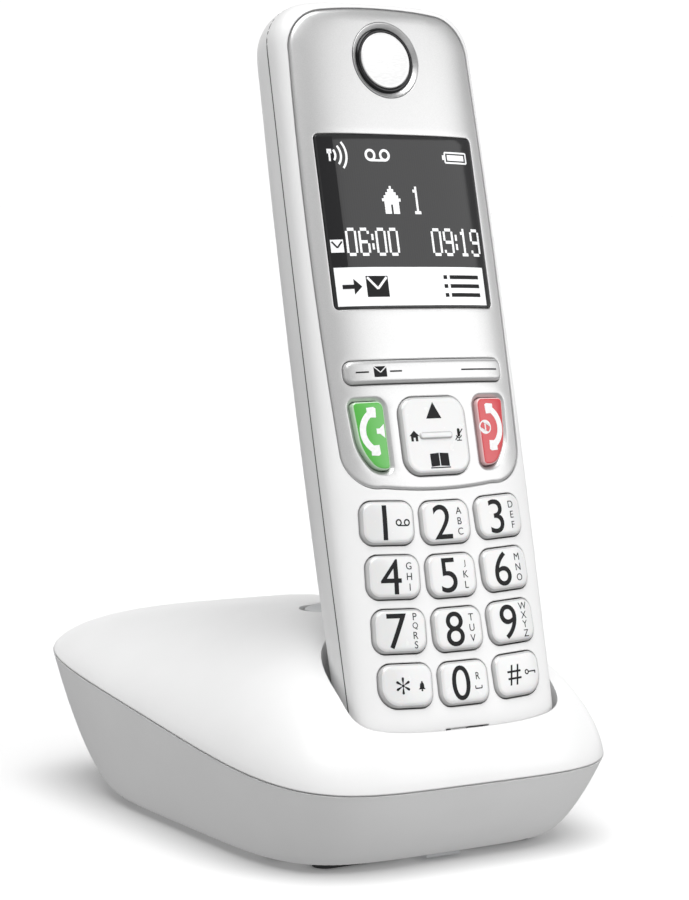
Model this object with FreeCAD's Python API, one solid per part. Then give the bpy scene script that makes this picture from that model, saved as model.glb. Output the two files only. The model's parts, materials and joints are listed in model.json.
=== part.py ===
import FreeCAD, Part
import math
import os
from FreeCAD import Placement, Rotation, Vector

# Cordless telephone standing in its charging base.
# Frame: +Z up, the origin on the table under the middle of the base, the keypad side faces -Y.
# The handset is drawn upright in its own frame and then leaned back into the base:
# x across, y from the keypad side to the back, z from its foot to its top.

# ---------------------------------------------------------------- base: driving dimensions
base_width = 88.8
base_depth = 124.2
base_corner_power = 4.7        # squareness of the outline: 2 is an ellipse
seam_height = 25.6             # seam between the two shells, at the middle of the base
seam_slope = 0.121             # rise of the seam towards the rear
crown_rise = 21.2              # top of the dome above the seam, at the middle
crown_tilt = -0.19             # change of that rise per millimetre towards the rear
crown_bend = 0.0015            # curvature of that change
dome_power = 2.2
dome_fall = 0.667
foot_width = 71.0
foot_depth = 90.8
foot_shift = -4.3              # the foot stands a little forward
foot_height = 1.5              # ground clearance under the shell
bowl_power = 0.6               # how fast the lower shell flares out
base_wall = 2.0
seam_gap = 0.35                # shadow groove between the shells
seam_gap_depth = 0.9

# ---------------------------------------------------------------- handset: driving dimensions
handset_length = 158.5
handset_width = 50.4
handset_barrel = 0.6           # the sides draw in by this much at both ends
handset_seam = 6.5             # depth of the seam between the handset shells
keypad_drop = 1.2              # the keypad end lies this much deeper than the display end
keypad_drop_length = 58.0
front_power = 3.3
back_power = 2.3
top_corner = 9.5
bottom_corner = 9.0
handset_wall = 1.8
least_half_depth = 0.6         # the inside never closes up in front of the seam by more than this
handset_lean = 14.65           # degrees back from upright
handset_foot_inset = 2.34      # from the front edge of the base to the handset frame's origin
handset_foot_z = 23.76

# ---------------------------------------------------------------- clearances
cradle_side_gap = 1.3
cradle_face_gap = 0.6
cradle_floor_gap = 0.2
button_gap = 0.3
running_gap = 0.08
seat_gap = 0.1

# ---------------------------------------------------------------- handset face
key_width = 12.1
key_height = 8.8
key_corner = 2.6
key_pitch_x = 13.85
key_pitch_z = 11.0
key_first_row = 47.85          # height of the 1-2-3 row
key_smile = 0.55               # the outer columns sit this much higher
key_turn = 3.0                 # and are turned by this many degrees
key_proud = 0.85
key_travel = 0.7
key_bevel = 0.45
flange_top = handset_wall + 2.3    # depth of the flanges that hold the keys in
flange_thick = 0.7
flange_rim = 0.55
mat_clearance = 0.4
mat_top = flange_top + flange_thick + key_travel + mat_clearance
dome_height = 0.7              # rubber dome under each key
mat_sheet = mat_top + dome_height
mat_thick = 1.0
mat_board_gap = 0.4
board_front = mat_sheet + mat_thick + mat_board_gap
board_thick = 1.0
board_half = 17.6
board_top_inset = 10.5         # from the top of the handset to the top of its board

plate_thick = 1.0
plate_bottom = 54.7
plate_top = handset_length - 1.6
plate_half_width = 23.0
window_width = 39.0
window_height = 36.6
window_middle = 111.1
window_ledge = 1.4
softkey_width = 39.0
softkey_height = 4.7
softkey_corner = 1.5
softkey_middle = 79.4
softkey_pivot_depth = 3.9
nav_size = 16.2
nav_middle = 65.8
nav_pivot_depth = 4.0
nav_pin_radius = 0.6
nav_pin_half_length = 5.6
call_key_outer = 19.5
call_key_inner = 11.0
call_key_top = 74.0
call_key_bottom = 58.6
call_key_rim = 0.6             # bevelled recess edge round the call keys
ear_middle = handset_length - 12.8
ear_bezel_radius = 8.15
ear_ring_radius = 7.04
ear_cap_radius = 6.0
mic_slot_height = 5.7
mic_slot_width = 10.8

# ---------------------------------------------------------------- battery, a standard AAA cell
cell_radius = 5.2
cell_length = 44.0
cell_bottom = 38.5
cell_spacing = 0.6             # half of the gap between the two cells
cell_tip_radius = 1.9
cell_tip_height = 0.8
bay_clearance = 0.6
bay_wall = 1.1
bay_board_gap = 0.7
bay_end_gap = 1.9              # room for the cell contacts at both ends
cover_half_width = 17.0
cover_bottom = 33.0
cover_top = 90.0
cover_thick = 1.6
cover_corner = 4.0
cover_cell_gap = 1.1
cover_seat_gap = 0.35
bay_floor = board_front + board_thick + bay_board_gap + bay_wall
cell_depth = bay_floor + bay_clearance + cell_radius
handset_thickness = cell_depth + cell_radius + cover_cell_gap + cover_thick
handset_foot_y = -base_depth / 2 + handset_foot_inset

# ---------------------------------------------------------------- base inside
board_z = 8.0
base_board_thick = 1.6
board_half_width = 24.5
board_front_y = -38.0
board_rear_y = base_depth / 2 - 22.1
boss_x = 29.0
boss_y = (-32.0, 26.0)
boss_radius = 3.5
screw_radius = 1.2
screw_head_radius = 2.6
button_y = -10.5
button_radius = 8.8
button_ring_gap = 1.2          # dark ring round the button
button_recess_radius = button_radius + button_ring_gap
button_stem_radius = 3.0
button_travel = 1.0
button_stop_gap = 0.4          # left under the button when it is pressed
button_drop = 0.5              # the button's rim lies this much below the dome
button_thick = 2.0
button_dish_radius = 60.0
cup_wall = 1.5
screw_shank = 15.0
screw_head_height = 1.8
screw_seat = foot_height + 3.0
post_radius = 2.6
post_head_radius = 1.9
post_shank_radius = 0.9
slot_half = 0.35
slot_depth = 0.7
pad_half_length = 10.0
pad_half_width = 2.5
pad_recess = 0.8
tab_half_width = 4.25
socket_x = 14.0
socket_face_y = base_depth / 2 - 13.1
socket_length = 14.0
socket_width = 13.0
socket_height = 11.6
socket_wall = 1.4
wire_pitch = 1.27
plug_width = 9.7
plug_height = 6.8
contact_x = 9.0
contact_depth = 13.0
contact_radius = 1.2
contact_foot = -9.3
contact_hole_gap = 0.4
handset_screw_x = 20.3
handset_screw_head = 14.0
speaker_slot_pitch = 2.6

BIG = 400.0
RING_POINTS = 48
SECTION_POINTS = 40
parts = {}


# ---------------------------------------------------------------- shared helpers
def box(x0, x1, y0, y1, z0, z1):
    return Part.makeBox(x1 - x0, y1 - y0, z1 - z0, Vector(x0, y0, z0))


def rod(radius, start, direction, length):
    return Part.makeCylinder(radius, length, Vector(*start), Vector(*direction))


def moved(shape, x=0.0, y=0.0, z=0.0):
    copy = shape.copy()
    copy.translate(Vector(x, y, z))
    return copy


def fuse(shapes):
    shapes = list(shapes)
    return shapes[0].fuse(shapes[1:]) if len(shapes) > 1 else shapes[0]


def closed_curve(points):
    """Smooth closed wire through evenly parametrised points."""
    curve = Part.BSplineCurve()
    steps = [i / len(points) for i in range(len(points) + 1)]
    curve.interpolate(Points=points, PeriodicFlag=True, Parameters=steps)
    return Part.Wire([curve.toShape()])


def rounded_polygon(points, radii, depth=0.0):
    """Wire in the plane y = depth with an arc of its own radius at every corner."""
    corners = [Vector(x, depth, z) for x, z in points]
    ends = []
    for i, corner in enumerate(corners):
        before = (corners[i - 1] - corner).normalize()
        after = (corners[(i + 1) % len(corners)] - corner).normalize()
        half = before.getAngle(after) / 2
        reach = radii[i] / math.tan(half)
        centre = corner + (before + after).normalize() * (radii[i] / math.sin(half))
        middle = centre + (corner - centre).normalize() * radii[i]
        ends.append((corner + before * reach, middle, corner + after * reach))
    edges = []
    for i, (start, middle, stop) in enumerate(ends):
        edges.append(Part.Arc(start, middle, stop).toShape())
        following = ends[(i + 1) % len(ends)][0]
        if (following - stop).Length > 1e-4:
            edges.append(Part.LineSegment(stop, following).toShape())
    return Part.Wire(edges)


def rectangle(width, height, corner, x=0.0, z=0.0):
    signs = ((-1, -1), (1, -1), (1, 1), (-1, 1))
    points = [(x + i * width / 2, z + j * height / 2) for i, j in signs]
    return rounded_polygon(points, [corner] * 4)


def grown(wire, amount):
    return wire.makeOffset2D(amount) if abs(amount) > 1e-6 else wire


def prism(wire, near=-BIG / 2, far=BIG / 2):
    """Solid of a wire drawn in the plane y = 0, from depth near to depth far."""
    face = Part.Face(wire)
    face.translate(Vector(0, near, 0))
    return face.extrude(Vector(0, far - near, 0))


# ---------------------------------------------------------------- base shells
def seam_z(y):
    return seam_height + seam_slope * y


def crown(y):
    return crown_rise + crown_tilt * y + crown_bend * y * y


def outline_point(angle, half_x, half_y):
    c = math.cos(angle)
    s = math.sin(angle)
    power = base_corner_power
    reach = (abs(c) ** power + abs(s) ** power) ** (-1 / power)
    return half_x * reach * c, half_y * reach * s


def ring(half_x, half_y, shift, height):
    """Closed curve round the base; height(y) gives its level."""
    points = []
    for i in range(RING_POINTS):
        x, y = outline_point(2 * math.pi * i / RING_POINTS, half_x, half_y)
        points.append(Vector(x, y + shift, height(y + shift)))
    return closed_curve(points)


def dome(inset=0.0):
    half_x = base_width / 2 - inset
    half_y = base_depth / 2 - inset
    rings = []
    for share in (1.0, 0.985, 0.955, 0.91, 0.85, 0.76, 0.64, 0.48, 0.3, 0.14):
        fall = (1 - share ** dome_power) ** dome_fall
        level = lambda y, fall=fall: seam_z(y) + (crown(y) - inset) * fall
        rings.append(ring(half_x * share, half_y * share, 0.0, level))
    rings.append(Part.Vertex(0, 0, seam_z(0) + crown(0) - inset))
    return Part.makeLoft(rings, True, False)


def bowl(inset=0.0):
    floor = foot_height + inset
    rings = []
    for share in (0.0, 0.04, 0.12, 0.25, 0.42, 0.62, 0.82, 1.0):
        flare = share ** bowl_power
        half_x = foot_width / 2 + (base_width - foot_width) / 2 * flare - inset
        half_y = foot_depth / 2 + (base_depth - foot_depth) / 2 * flare - inset
        level = lambda y, share=share: floor + share * (seam_z(y) - floor)
        rings.append(ring(half_x, half_y, foot_shift * (1 - flare), level))
    return Part.makeLoft(rings, True, False)


def groove():
    outer = Part.Face(ring(base_width / 2 + 1, base_depth / 2 + 1, 0.0, seam_z))
    inner = Part.Face(ring(base_width / 2 - seam_gap_depth, base_depth / 2 - seam_gap_depth, 0.0, seam_z))
    rise = Vector(0, 0, seam_gap)
    return outer.extrude(rise).cut(inner.extrude(rise))


def boss_places():
    return [(side * boss_x, y) for side in (-1, 1) for y in boss_y]


def dome_level(y):
    """Height of the dome's middle line."""
    share = abs(y) / (base_depth / 2)
    return seam_z(y) + crown(y) * (1 - share ** dome_power) ** dome_fall


button_top = dome_level(button_y) - button_drop
board_top = board_z + base_board_thick
switch_top = board_top + 4.3
pocket_wall = 2.0
boss_foot = foot_height + base_wall
boss_top = board_z + 1.8


def make_top_shell(handset_shape, pocket_shape):
    skin = dome().cut(dome(base_wall))
    inside = dome(0.4)
    walls = pocket_shape.common(inside)
    shell = skin.fuse(walls)
    recess_floor = button_top - button_thick - button_travel - button_stop_gap
    cup_start = (0, button_y, recess_floor - cup_wall)
    cup = rod(button_recess_radius + cup_wall, cup_start, (0, 0, 1), 20)
    shell = shell.fuse(cup.common(inside))
    for x, y in boss_places():
        shell = shell.fuse(rod(boss_radius, (x, y, boss_top + 0.05), (0, 0, 1), 40).common(below_dome))
    shell = shell.cut(handset_shape)
    shell = shell.cut(rod(button_recess_radius, (0, button_y, recess_floor), (0, 0, 1), 20))
    shell = shell.cut(rod(button_stem_radius + running_gap, (0, button_y, 20), (0, 0, 1), 40))
    for x, y in boss_places():
        shell = shell.cut(rod(screw_radius + 0.05, (x, y, 5), (0, 0, 1), 17))
    for side in (-1, 1):
        start = (side * contact_x, contact_depth, -12)
        shell = shell.cut(leaned(rod(contact_radius + contact_hole_gap, start, (0, 0, 1), 14)))
    return shell.cut(groove())


def make_bottom_shell():
    shell = bowl().cut(bowl(base_wall))
    boss_low = foot_height + 0.5
    post_low = foot_height + 1
    for x, y in boss_places():
        shell = shell.fuse(rod(boss_radius, (x, y, boss_low), (0, 0, 1), boss_top - boss_low))
    for x, y in board_posts():
        shell = shell.fuse(rod(post_radius, (x, y, post_low), (0, 0, 1), board_z - post_low))
    for x, y in boss_places():
        shell = shell.cut(rod(screw_radius + 0.3, (x, y, 0), (0, 0, 1), 20))
        shell = shell.cut(rod(screw_head_radius + 0.3, (x, y, 0), (0, 0, 1), screw_seat))
    for x, y in board_posts():
        shell = shell.cut(rod(post_shank_radius + 0.05, (x, y, board_z - 4), (0, 0, 1), 10))
    for pad in pad_places():
        shell = shell.cut(pad_shape(*pad, grow=0.15, low=-1))
    for side in (-1, 1):
        x = side * socket_x
        half = socket_width / 2 + 0.6
        shell = shell.cut(box(x - half, x + half, socket_face_y - 2, base_depth,
                              board_top - 0.4, board_top + socket_height + 0.6))
    return shell.cut(tab_shape(0.05))


def board_posts():
    return [(side * 20.0, y) for side in (-1, 1) for y in (-30.0, 20.0)]


def pad_places():
    return [(side * 17.0, y) for side in (-1, 1) for y in (-42.0, 32.0)]


def pad_shape(x, y, grow=0.0, low=0.0):
    half = pad_half_length + grow
    width = pad_half_width + grow
    top = foot_height + pad_recess
    core = box(x - half + width, x + half - width, y - width, y + width, low, top)
    ends = [rod(width, (x + s * (half - width), y, low), (0, 0, 1), top - low) for s in (-1, 1)]
    return fuse([core] + ends)


def tab_shape(grow=0.0):
    front = foot_shift - foot_depth / 2
    half = tab_half_width + grow
    return box(-half, half, front + 0.3 - grow, front + 6 + grow, 0.7, foot_height + 0.6 + grow)


def make_base_screws():
    screws = []
    for x, y in boss_places():
        low = screw_seat - screw_head_height
        head = rod(screw_head_radius, (x, y, low), (0, 0, 1), screw_head_height)
        shank = rod(screw_radius, (x, y, screw_seat), (0, 0, 1), screw_shank)
        slot = box(x - 1.6, x + 1.6, y - slot_half, y + slot_half, low, low + slot_depth)
        cross = box(x - slot_half, x + slot_half, y - 1.6, y + 1.6, low, low + slot_depth)
        screws.append(head.fuse(shank).cut(slot).cut(cross))
    for x, y in board_posts():
        head = rod(post_head_radius, (x, y, board_top), (0, 0, 1), 1.2)
        shank = rod(post_shank_radius, (x, y, board_z - 3.5), (0, 0, 1), base_board_thick + 3.5)
        slot = box(x - 1.2, x + 1.2, y - slot_half, y + slot_half, board_top + slot_depth, board_top + 2)
        screws.append(head.fuse(shank).cut(slot))
    return Part.makeCompound(screws)


def make_base_board():
    board = box(-board_half_width, board_half_width, board_front_y, board_rear_y, board_z, board_top)
    for x, y in board_posts():
        board = board.cut(rod(post_shank_radius + 0.3, (x, y, board_z - 1), (0, 0, 1), 5))
    return board


def make_socket(x):
    """Modular socket, its mouth towards the rear."""
    low = board_top
    front = socket_face_y - socket_length
    sill = low + socket_wall
    half = socket_width / 2
    case = box(x - half, x + half, front, socket_face_y, low, low + socket_height)
    half = plug_width / 2
    mouth = box(x - half, x + half, front + 1.5, socket_face_y + 1, sill, sill + plug_height)
    latch = box(x - 3.1, x + 3.1, front + 4, socket_face_y + 1, sill + plug_height - 0.1,
                low + socket_height - 1.2)
    return case.cut(mouth).cut(latch)


def make_socket_wires():
    wires = []
    for side in (-1, 1):
        for i in range(4):
            x = side * socket_x + (i - 1.5) * wire_pitch
            base_y = socket_face_y - socket_length + 1.5
            z = board_top + socket_wall
            wires.append(box(x - 0.2, x + 0.2, base_y, base_y + 8.0, z, z + 0.5))
    return Part.makeCompound(wires)


def make_shield(x0, x1, y0, y1, z0, z1, wall=0.3):
    """Pressed tin lid with rows of vent holes."""
    lid = box(x0, x1, y0, y1, z0, z1).cut(box(x0 + wall, x1 - wall, y0 + wall, y1 - wall, z0 - 1, z1 - wall))
    holes = []
    for i in range(4):
        for j in range(3):
            x = x0 + (x1 - x0) * (i + 1) / 5
            y = y0 + (y1 - y0) * (j + 1) / 4
            holes.append(rod(0.8, (x, y, z1 - 2), (0, 0, 1), 4))
    return lid.cut(Part.makeCompound(holes))


def make_antenna(side):
    """Bent strip standing on the board."""
    x = side * (board_half_width - 4)
    strip = box(x - 0.3, x + 0.3, -20, 2, board_top, board_top + 9)
    notch = box(x - 1, x + 1, -17, 5, board_top - 1, board_top + 6)
    arm = box(*sorted((x - side * 0.3, x + side * 4)), -20, 2, board_top + 8.6, board_top + 9.2)
    return strip.cut(notch).fuse(arm)


def make_capacitors():
    cans = []
    for x, radius, height in ((-9.0, 3.0, 9.0), (0.0, 2.5, 7.0), (8.0, 3.0, 9.0)):
        cans.append(rod(radius, (x, 26.0, board_top), (0, 0, 1), height))
    return Part.makeCompound(cans)


def make_page_switch():
    case_top = switch_top - 0.9
    case = box(-3, 3, button_y - 3, button_y + 3, board_top, case_top)
    return case.fuse(rod(1.7, (0, button_y, case_top), (0, 0, 1), switch_top - case_top))


def make_page_button():
    low = button_top - button_thick
    disc = rod(button_radius, (0, button_y, low), (0, 0, 1), button_thick)
    dish = Part.makeSphere(button_dish_radius, Vector(0, button_y, button_top + button_dish_radius - 0.5))
    bottom = switch_top + button_travel + 0.2
    return disc.cut(dish).fuse(rod(button_stem_radius, (0, button_y, bottom), (0, 0, 1), low - bottom))


def make_contact_block():
    half = contact_x + 4
    top = -cradle_floor_gap - 2.6
    block = box(-half, half, contact_depth - 4, contact_depth + 4, contact_foot, top)
    for side in (-1, 1):
        start = (side * contact_x, contact_depth, -12)
        block = block.cut(rod(contact_radius + running_gap, start, (0, 0, 1), 14))
    return block


def make_contact(side):
    place = Vector(side * contact_x, contact_depth, -0.5)
    low = contact_foot - 0.3
    pin = rod(contact_radius, (place.x, place.y, low), (0, 0, 1), place.z - low)
    tip = Part.makeCone(contact_radius, contact_radius - 0.4, 0.45, place)
    return pin.fuse(tip)


# ---------------------------------------------------------------- handset body
def end_share(distance, length):
    """Part of an end rounding still missing at this distance from the end."""
    if distance >= length:
        return 0.0
    return 1 - math.sqrt(max(0.0, 1 - ((length - distance) / length) ** 2))


def half_width_at(z):
    middle = handset_length / 2
    width = handset_width / 2 - handset_barrel * ((z - middle) / middle) ** 2
    width -= bottom_corner * end_share(z, bottom_corner)
    return width - top_corner * end_share(handset_length - z, top_corner)


def front_depth_at(z):
    depth = keypad_drop * max(0.0, 1 - z / keypad_drop_length)
    depth += 4.4 * end_share(z, 8.0)
    return depth + 3.0 * end_share(handset_length - z, 4.0)


def back_depth_at(z):
    depth = handset_thickness - 2.2 * ((z - 70.0) / 88.0) ** 2
    depth -= 9.0 * end_share(z, 12.0)
    return depth - 8.0 * end_share(handset_length - z, 12.0)


def section(z, place, side, front, back):
    width = half_width_at(z) + side
    near = min(front_depth_at(z) - front, handset_seam - least_half_depth)
    far = back_depth_at(z) + back
    points = []
    for i in range(SECTION_POINTS):
        angle = 2 * math.pi * i / SECTION_POINTS
        c = math.cos(angle)
        s = math.sin(angle)
        power = back_power if s >= 0 else front_power
        depth = far - handset_seam if s >= 0 else handset_seam - near
        reach = (abs(c) ** power + abs(s) ** power) ** (-1 / power)
        points.append(Vector(width * reach * c, handset_seam + depth * reach * s, place))
    return closed_curve(points)


def handset_body(side=0.0, front=0.0, back=0.0, ends=0.0):
    """The handset's whole outer form, grown or shrunk on its sides, face, back and ends."""
    near_end = (0.0, 0.35, 1.3, 2.8, 4.8, 7.2, 10.0, 14.0)
    middle = (26.0, 42.0, 58.0, 80.0, 105.0, 130.0)
    stations = list(near_end) + list(middle) + [handset_length - d for d in reversed(near_end)]
    stretch = (handset_length + 2 * ends) / handset_length
    wires = [section(z, z * stretch - ends, side, front, back) for z in stations]
    return Part.makeLoft(wires, True, False)


lean = Placement(Vector(0, handset_foot_y, handset_foot_z), Rotation(Vector(1, 0, 0), -handset_lean))


def leaned(shape):
    copy = shape.copy()
    copy.Placement = lean.multiply(copy.Placement)
    return copy


body = handset_body()
cavity = handset_body(-handset_wall, -handset_wall, -handset_wall, -handset_wall)
face_side = box(-BIG, BIG, -BIG, handset_seam, -BIG, BIG)
back_side = box(-BIG, BIG, handset_seam, BIG, -BIG, BIG)


def face_skin(wire, thick, proud=0.0):
    """Layer of the handset's face inside a wire."""
    column = prism(wire, -5, handset_seam)
    return column.common(moved(body, y=-proud)).cut(moved(body, y=thick))


# ---------------------------------------------------------------- handset face outlines
def plate_outline():
    """U-shaped lower edge, slightly bowed sides and a crowned top, as tangent-like arcs."""
    half = plate_half_width
    low = plate_bottom
    high = plate_top
    middle = (low + high) / 2
    right_low = Vector(half - 0.9, 0, low + 8.5)
    right_high = Vector(half - 0.7, 0, high - 10.0)
    left_low = Vector(-right_low.x, 0, right_low.z)
    left_high = Vector(-right_high.x, 0, right_high.z)
    foot_right = Vector(half - 9.5, 0, low + 0.9)
    foot_left = Vector(-foot_right.x, 0, foot_right.z)
    head_right = Vector(half - 9.0, 0, high - 0.8)
    head_left = Vector(-head_right.x, 0, head_right.z)
    arcs = [
        Part.Arc(foot_left, Vector(0, 0, low), foot_right),
        Part.Arc(foot_right, Vector(half - 3.3, 0, low + 3.0), right_low),
        Part.Arc(right_low, Vector(half, 0, middle), right_high),
        Part.Arc(right_high, Vector(half - 3.0, 0, high - 3.6), head_right),
        Part.Arc(head_right, Vector(0, 0, high), head_left),
        Part.Arc(head_left, Vector(3.0 - half, 0, high - 3.6), left_high),
        Part.Arc(left_high, Vector(-half, 0, middle), left_low),
        Part.Arc(left_low, Vector(3.3 - half, 0, low + 3.0), foot_left),
    ]
    return Part.Wire([arc.toShape() for arc in arcs])


def key_outline(column, row):
    """One number key; the two bottom corner keys have a large outer corner."""
    x = column * key_pitch_x
    z = key_first_row - row * key_pitch_z + (key_smile if column else 0.0)
    half_w = key_width / 2
    half_h = key_height / 2
    points = [(-half_w, -half_h), (half_w, -half_h), (half_w, half_h), (-half_w, half_h)]
    radii = [key_corner] * 4
    if row == 3 and column < 0:
        radii[0] = 4.2
    if row == 3 and column > 0:
        radii[1] = 4.2
    wire = rounded_polygon(points, radii)
    wire.rotate(Vector(0, 0, 0), Vector(0, 1, 0), -column * key_turn)
    wire.translate(Vector(x, 0, z))
    return wire


def call_key_outline(side):
    outer = side * call_key_outer
    inner = side * call_key_inner
    points = [(outer, call_key_top), (inner, call_key_top), (inner, call_key_bottom),
              (side * (call_key_inner + 4.2), call_key_bottom),
              (side * (call_key_outer - 0.8), call_key_bottom + 4.6)]
    radii = [1.6, 2.2, 1.6, 4.2, 11.0]
    if side > 0:
        points.reverse()
        radii.reverse()
    return grown(rounded_polygon(points, radii), -call_key_rim)


key_names = {(-1, 0): "key_1", (0, 0): "key_2", (1, 0): "key_3", (-1, 1): "key_4", (0, 1): "key_5",
             (1, 1): "key_6", (-1, 2): "key_7", (0, 2): "key_8", (1, 2): "key_9", (-1, 3): "key_star",
             (0, 3): "key_0", (1, 3): "key_hash"}
press_outlines = {name: key_outline(*place) for place, name in key_names.items()}
press_outlines["talk_key"] = call_key_outline(-1)
press_outlines["end_key"] = call_key_outline(1)
softkey_outline = rectangle(softkey_width, softkey_height, softkey_corner, 0.0, softkey_middle)
nav_outline = rectangle(nav_size, nav_size, 3.6, 0.0, nav_middle)
window_outline = rectangle(window_width, window_height, 0.7, 0.0, window_middle)


def cap(wire, proud, foot):
    """Key cap with a stepped bevel, from its proud face down to the depth foot."""
    column = prism(wire, -5, foot).common(moved(body, y=key_bevel - proud))
    crown_part = prism(grown(wire, -key_bevel), -5, foot).common(moved(body, y=-proud))
    return column.fuse(crown_part)


def make_press_key(wire):
    flange = prism(grown(wire, flange_rim), flange_top, flange_top + flange_thick)
    return cap(wire, key_proud, flange_top + 0.1).fuse(flange)


def make_softkey():
    bar = cap(softkey_outline, 0.75, softkey_pivot_depth - 0.2)
    flange = box(-17, 17, 3.6, 4.3, softkey_middle - 3.1, softkey_middle + 3.1)
    rib = rod(0.7, (0, softkey_pivot_depth, softkey_middle - 3.1), (0, 0, 1), 6.2)
    return bar.fuse(flange).fuse(rib)


def make_nav_key():
    key = cap(nav_outline, key_proud, 2.8)
    pin_start = (0, nav_pivot_depth, nav_middle - nav_pin_half_length)
    pin = rod(nav_pin_radius, pin_start, (0, 0, 1), 2 * nav_pin_half_length)
    return key.fuse(rod(1.2, (0, 2.6, nav_middle), (0, 1, 0), 2.8)).fuse(pin)


def make_nav_carrier():
    plate = box(-6, 6, 4.3, 5.1, nav_middle - 6, nav_middle + 6)
    plate = plate.fuse(rod(nav_pin_radius, (-10.5, nav_pivot_depth, nav_middle), (1, 0, 0), 21.0))
    for low in (-6, 4):
        plate = plate.fuse(box(low, low + 2, 3.6, 4.5, nav_middle - 0.6, nav_middle + 0.6))
        plate = plate.fuse(box(-1.3, 1.3, 3.7, 4.5, nav_middle + low, nav_middle + low + 2))
    channel = (0, nav_pivot_depth, nav_middle - 7)
    plate = plate.cut(rod(nav_pin_radius + running_gap / 2, channel, (0, 0, 1), 14))
    hole = rod(1.7, (0, 2, nav_middle), (0, 1, 0), 6)
    gap = box(-3.9, 3.9, 3.0, 4.3, nav_middle - 2, nav_middle + 2)
    return plate.cut(hole).cut(gap)


# ---------------------------------------------------------------- handset shells and skins
def handset_screw_places():
    return [(side * handset_screw_x, z) for side in (-1, 1) for z in (87.0, handset_length - 20.5)]


def make_front_shell():
    shell = body.common(face_side).cut(cavity)
    for x, z in handset_screw_places():
        shell = shell.fuse(rod(2.2, (x, 2.6, z), (0, 1, 0), 6.4).common(moved(body, y=0.5)))
    for side in (-1, 1):
        x = side * 10.0
        shell = shell.fuse(box(x - 0.7, x + 0.7, 1.4, 5.4, nav_middle - 1.5, nav_middle + 1.5))
    cuts = [face_skin(grown(plate_outline(), 0.25), plate_thick, 3.0)]
    cuts += [prism(grown(wire, button_gap), -5, handset_seam) for wire in press_outlines.values()]
    cuts.append(prism(grown(softkey_outline, button_gap), -5, handset_seam))
    nav_hole = grown(nav_outline, button_gap)
    cuts.append(prism(nav_hole, -5, 3.0))
    cuts.append(prism(grown(window_outline, -window_ledge), -5, handset_seam))
    cuts.append(rod(ear_cap_radius - 1.5, (0, -5, ear_middle), (0, 1, 0), 12))
    half = mic_slot_width / 2
    cuts.append(box(-half, half, -5, 7, mic_slot_height - 0.25, mic_slot_height + 0.25))
    for side in (-1, 1):
        start = (side * 10.0 - 2, nav_pivot_depth, nav_middle)
        cuts.append(rod(nav_pin_radius + running_gap / 2, start, (1, 0, 0), 4))
    for x, z in handset_screw_places():
        cuts.append(rod(post_shank_radius + 0.05, (x, 3.2, z), (0, 1, 0), 12))
    for cutter in cuts:
        shell = shell.cut(cutter)
    return shell


def make_front_plate():
    plate = face_skin(plate_outline(), plate_thick)
    for name in ("talk_key", "end_key"):
        plate = plate.cut(prism(grown(press_outlines[name], button_gap), -5, 7))
    for wire, gap in ((softkey_outline, button_gap), (nav_outline, button_gap), (window_outline, seat_gap)):
        plate = plate.cut(prism(grown(wire, gap), -5, 7))
    return plate.cut(rod(ear_bezel_radius + seat_gap, (0, -5, ear_middle), (0, 1, 0), 12))


def ear_disc(radius, proud, foot):
    disc = rod(radius, (0, -5, ear_middle), (0, 1, 0), 5 + foot)
    return disc.common(moved(body, y=-proud)).cut(moved(body, y=foot))


def cover_outline(grow=0.0, top_grow=0.0):
    points = [(-cover_half_width, cover_bottom), (cover_half_width, cover_bottom),
              (cover_half_width, cover_top + top_grow), (-cover_half_width, cover_top + top_grow)]
    return grown(rounded_polygon(points, [cover_corner] * 4), grow)


def cell_x(side):
    return side * (cell_radius + cell_spacing)


bay_half = 2 * cell_radius + cell_spacing + bay_clearance
bay_low = cell_bottom - bay_end_gap
bay_high = cell_bottom + cell_length + bay_end_gap


def make_back_shell():
    shell = body.common(back_side).cut(cavity)
    seat_depth = cover_thick + cover_seat_gap
    ledge = prism(cover_outline(2.0), handset_seam + 4, 60).common(moved(body, y=-seat_depth))
    ledge = ledge.cut(moved(body, y=-seat_depth - 1.2))
    bay = box(-bay_half - bay_wall, bay_half + bay_wall, bay_floor - bay_wall, 60, bay_low - bay_wall,
              bay_high + bay_wall).common(moved(body, y=-seat_depth))
    shell = shell.fuse(ledge).fuse(bay)
    recess = prism(cover_outline(0.3, 0.5), handset_seam + 4, 60).cut(moved(body, y=-seat_depth))
    shell = shell.cut(recess).cut(box(-bay_half, bay_half, bay_floor, 60, bay_low, bay_high))
    for x, z in handset_screw_places():
        tower = rod(2.9, (x, 9.05, z), (0, 1, 0), 20).common(moved(body, y=-0.6))
        shell = shell.fuse(tower).cut(rod(post_shank_radius + 0.25, (x, 5, z), (0, 1, 0), 30))
        shell = shell.cut(rod(post_head_radius + 0.25, (x, handset_screw_head, z), (0, 1, 0), 30))
    for i in range(5):
        height = handset_length - 27.0 + speaker_slot_pitch * i
        shell = shell.cut(rounded_slot(0.0, height, 13.0, 1.2))
    return shell


def rounded_slot(x, z, length, width):
    return prism(rectangle(length, width, width / 2 - 0.05, x, z), 12, 60)


def make_battery_cover():
    cover = prism(cover_outline(), handset_seam + 4, 60).common(body).cut(moved(body, y=-cover_thick))
    near = handset_thickness - cover_thick
    tops = [cover_top - 5.2 - 2.2 * i for i in range(4)]
    grips = [box(-8, 8, near, 60, top - 0.8, top) for top in tops]
    return cover.cut(Part.makeCompound(grips).cut(moved(body, y=-0.5)))


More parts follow.
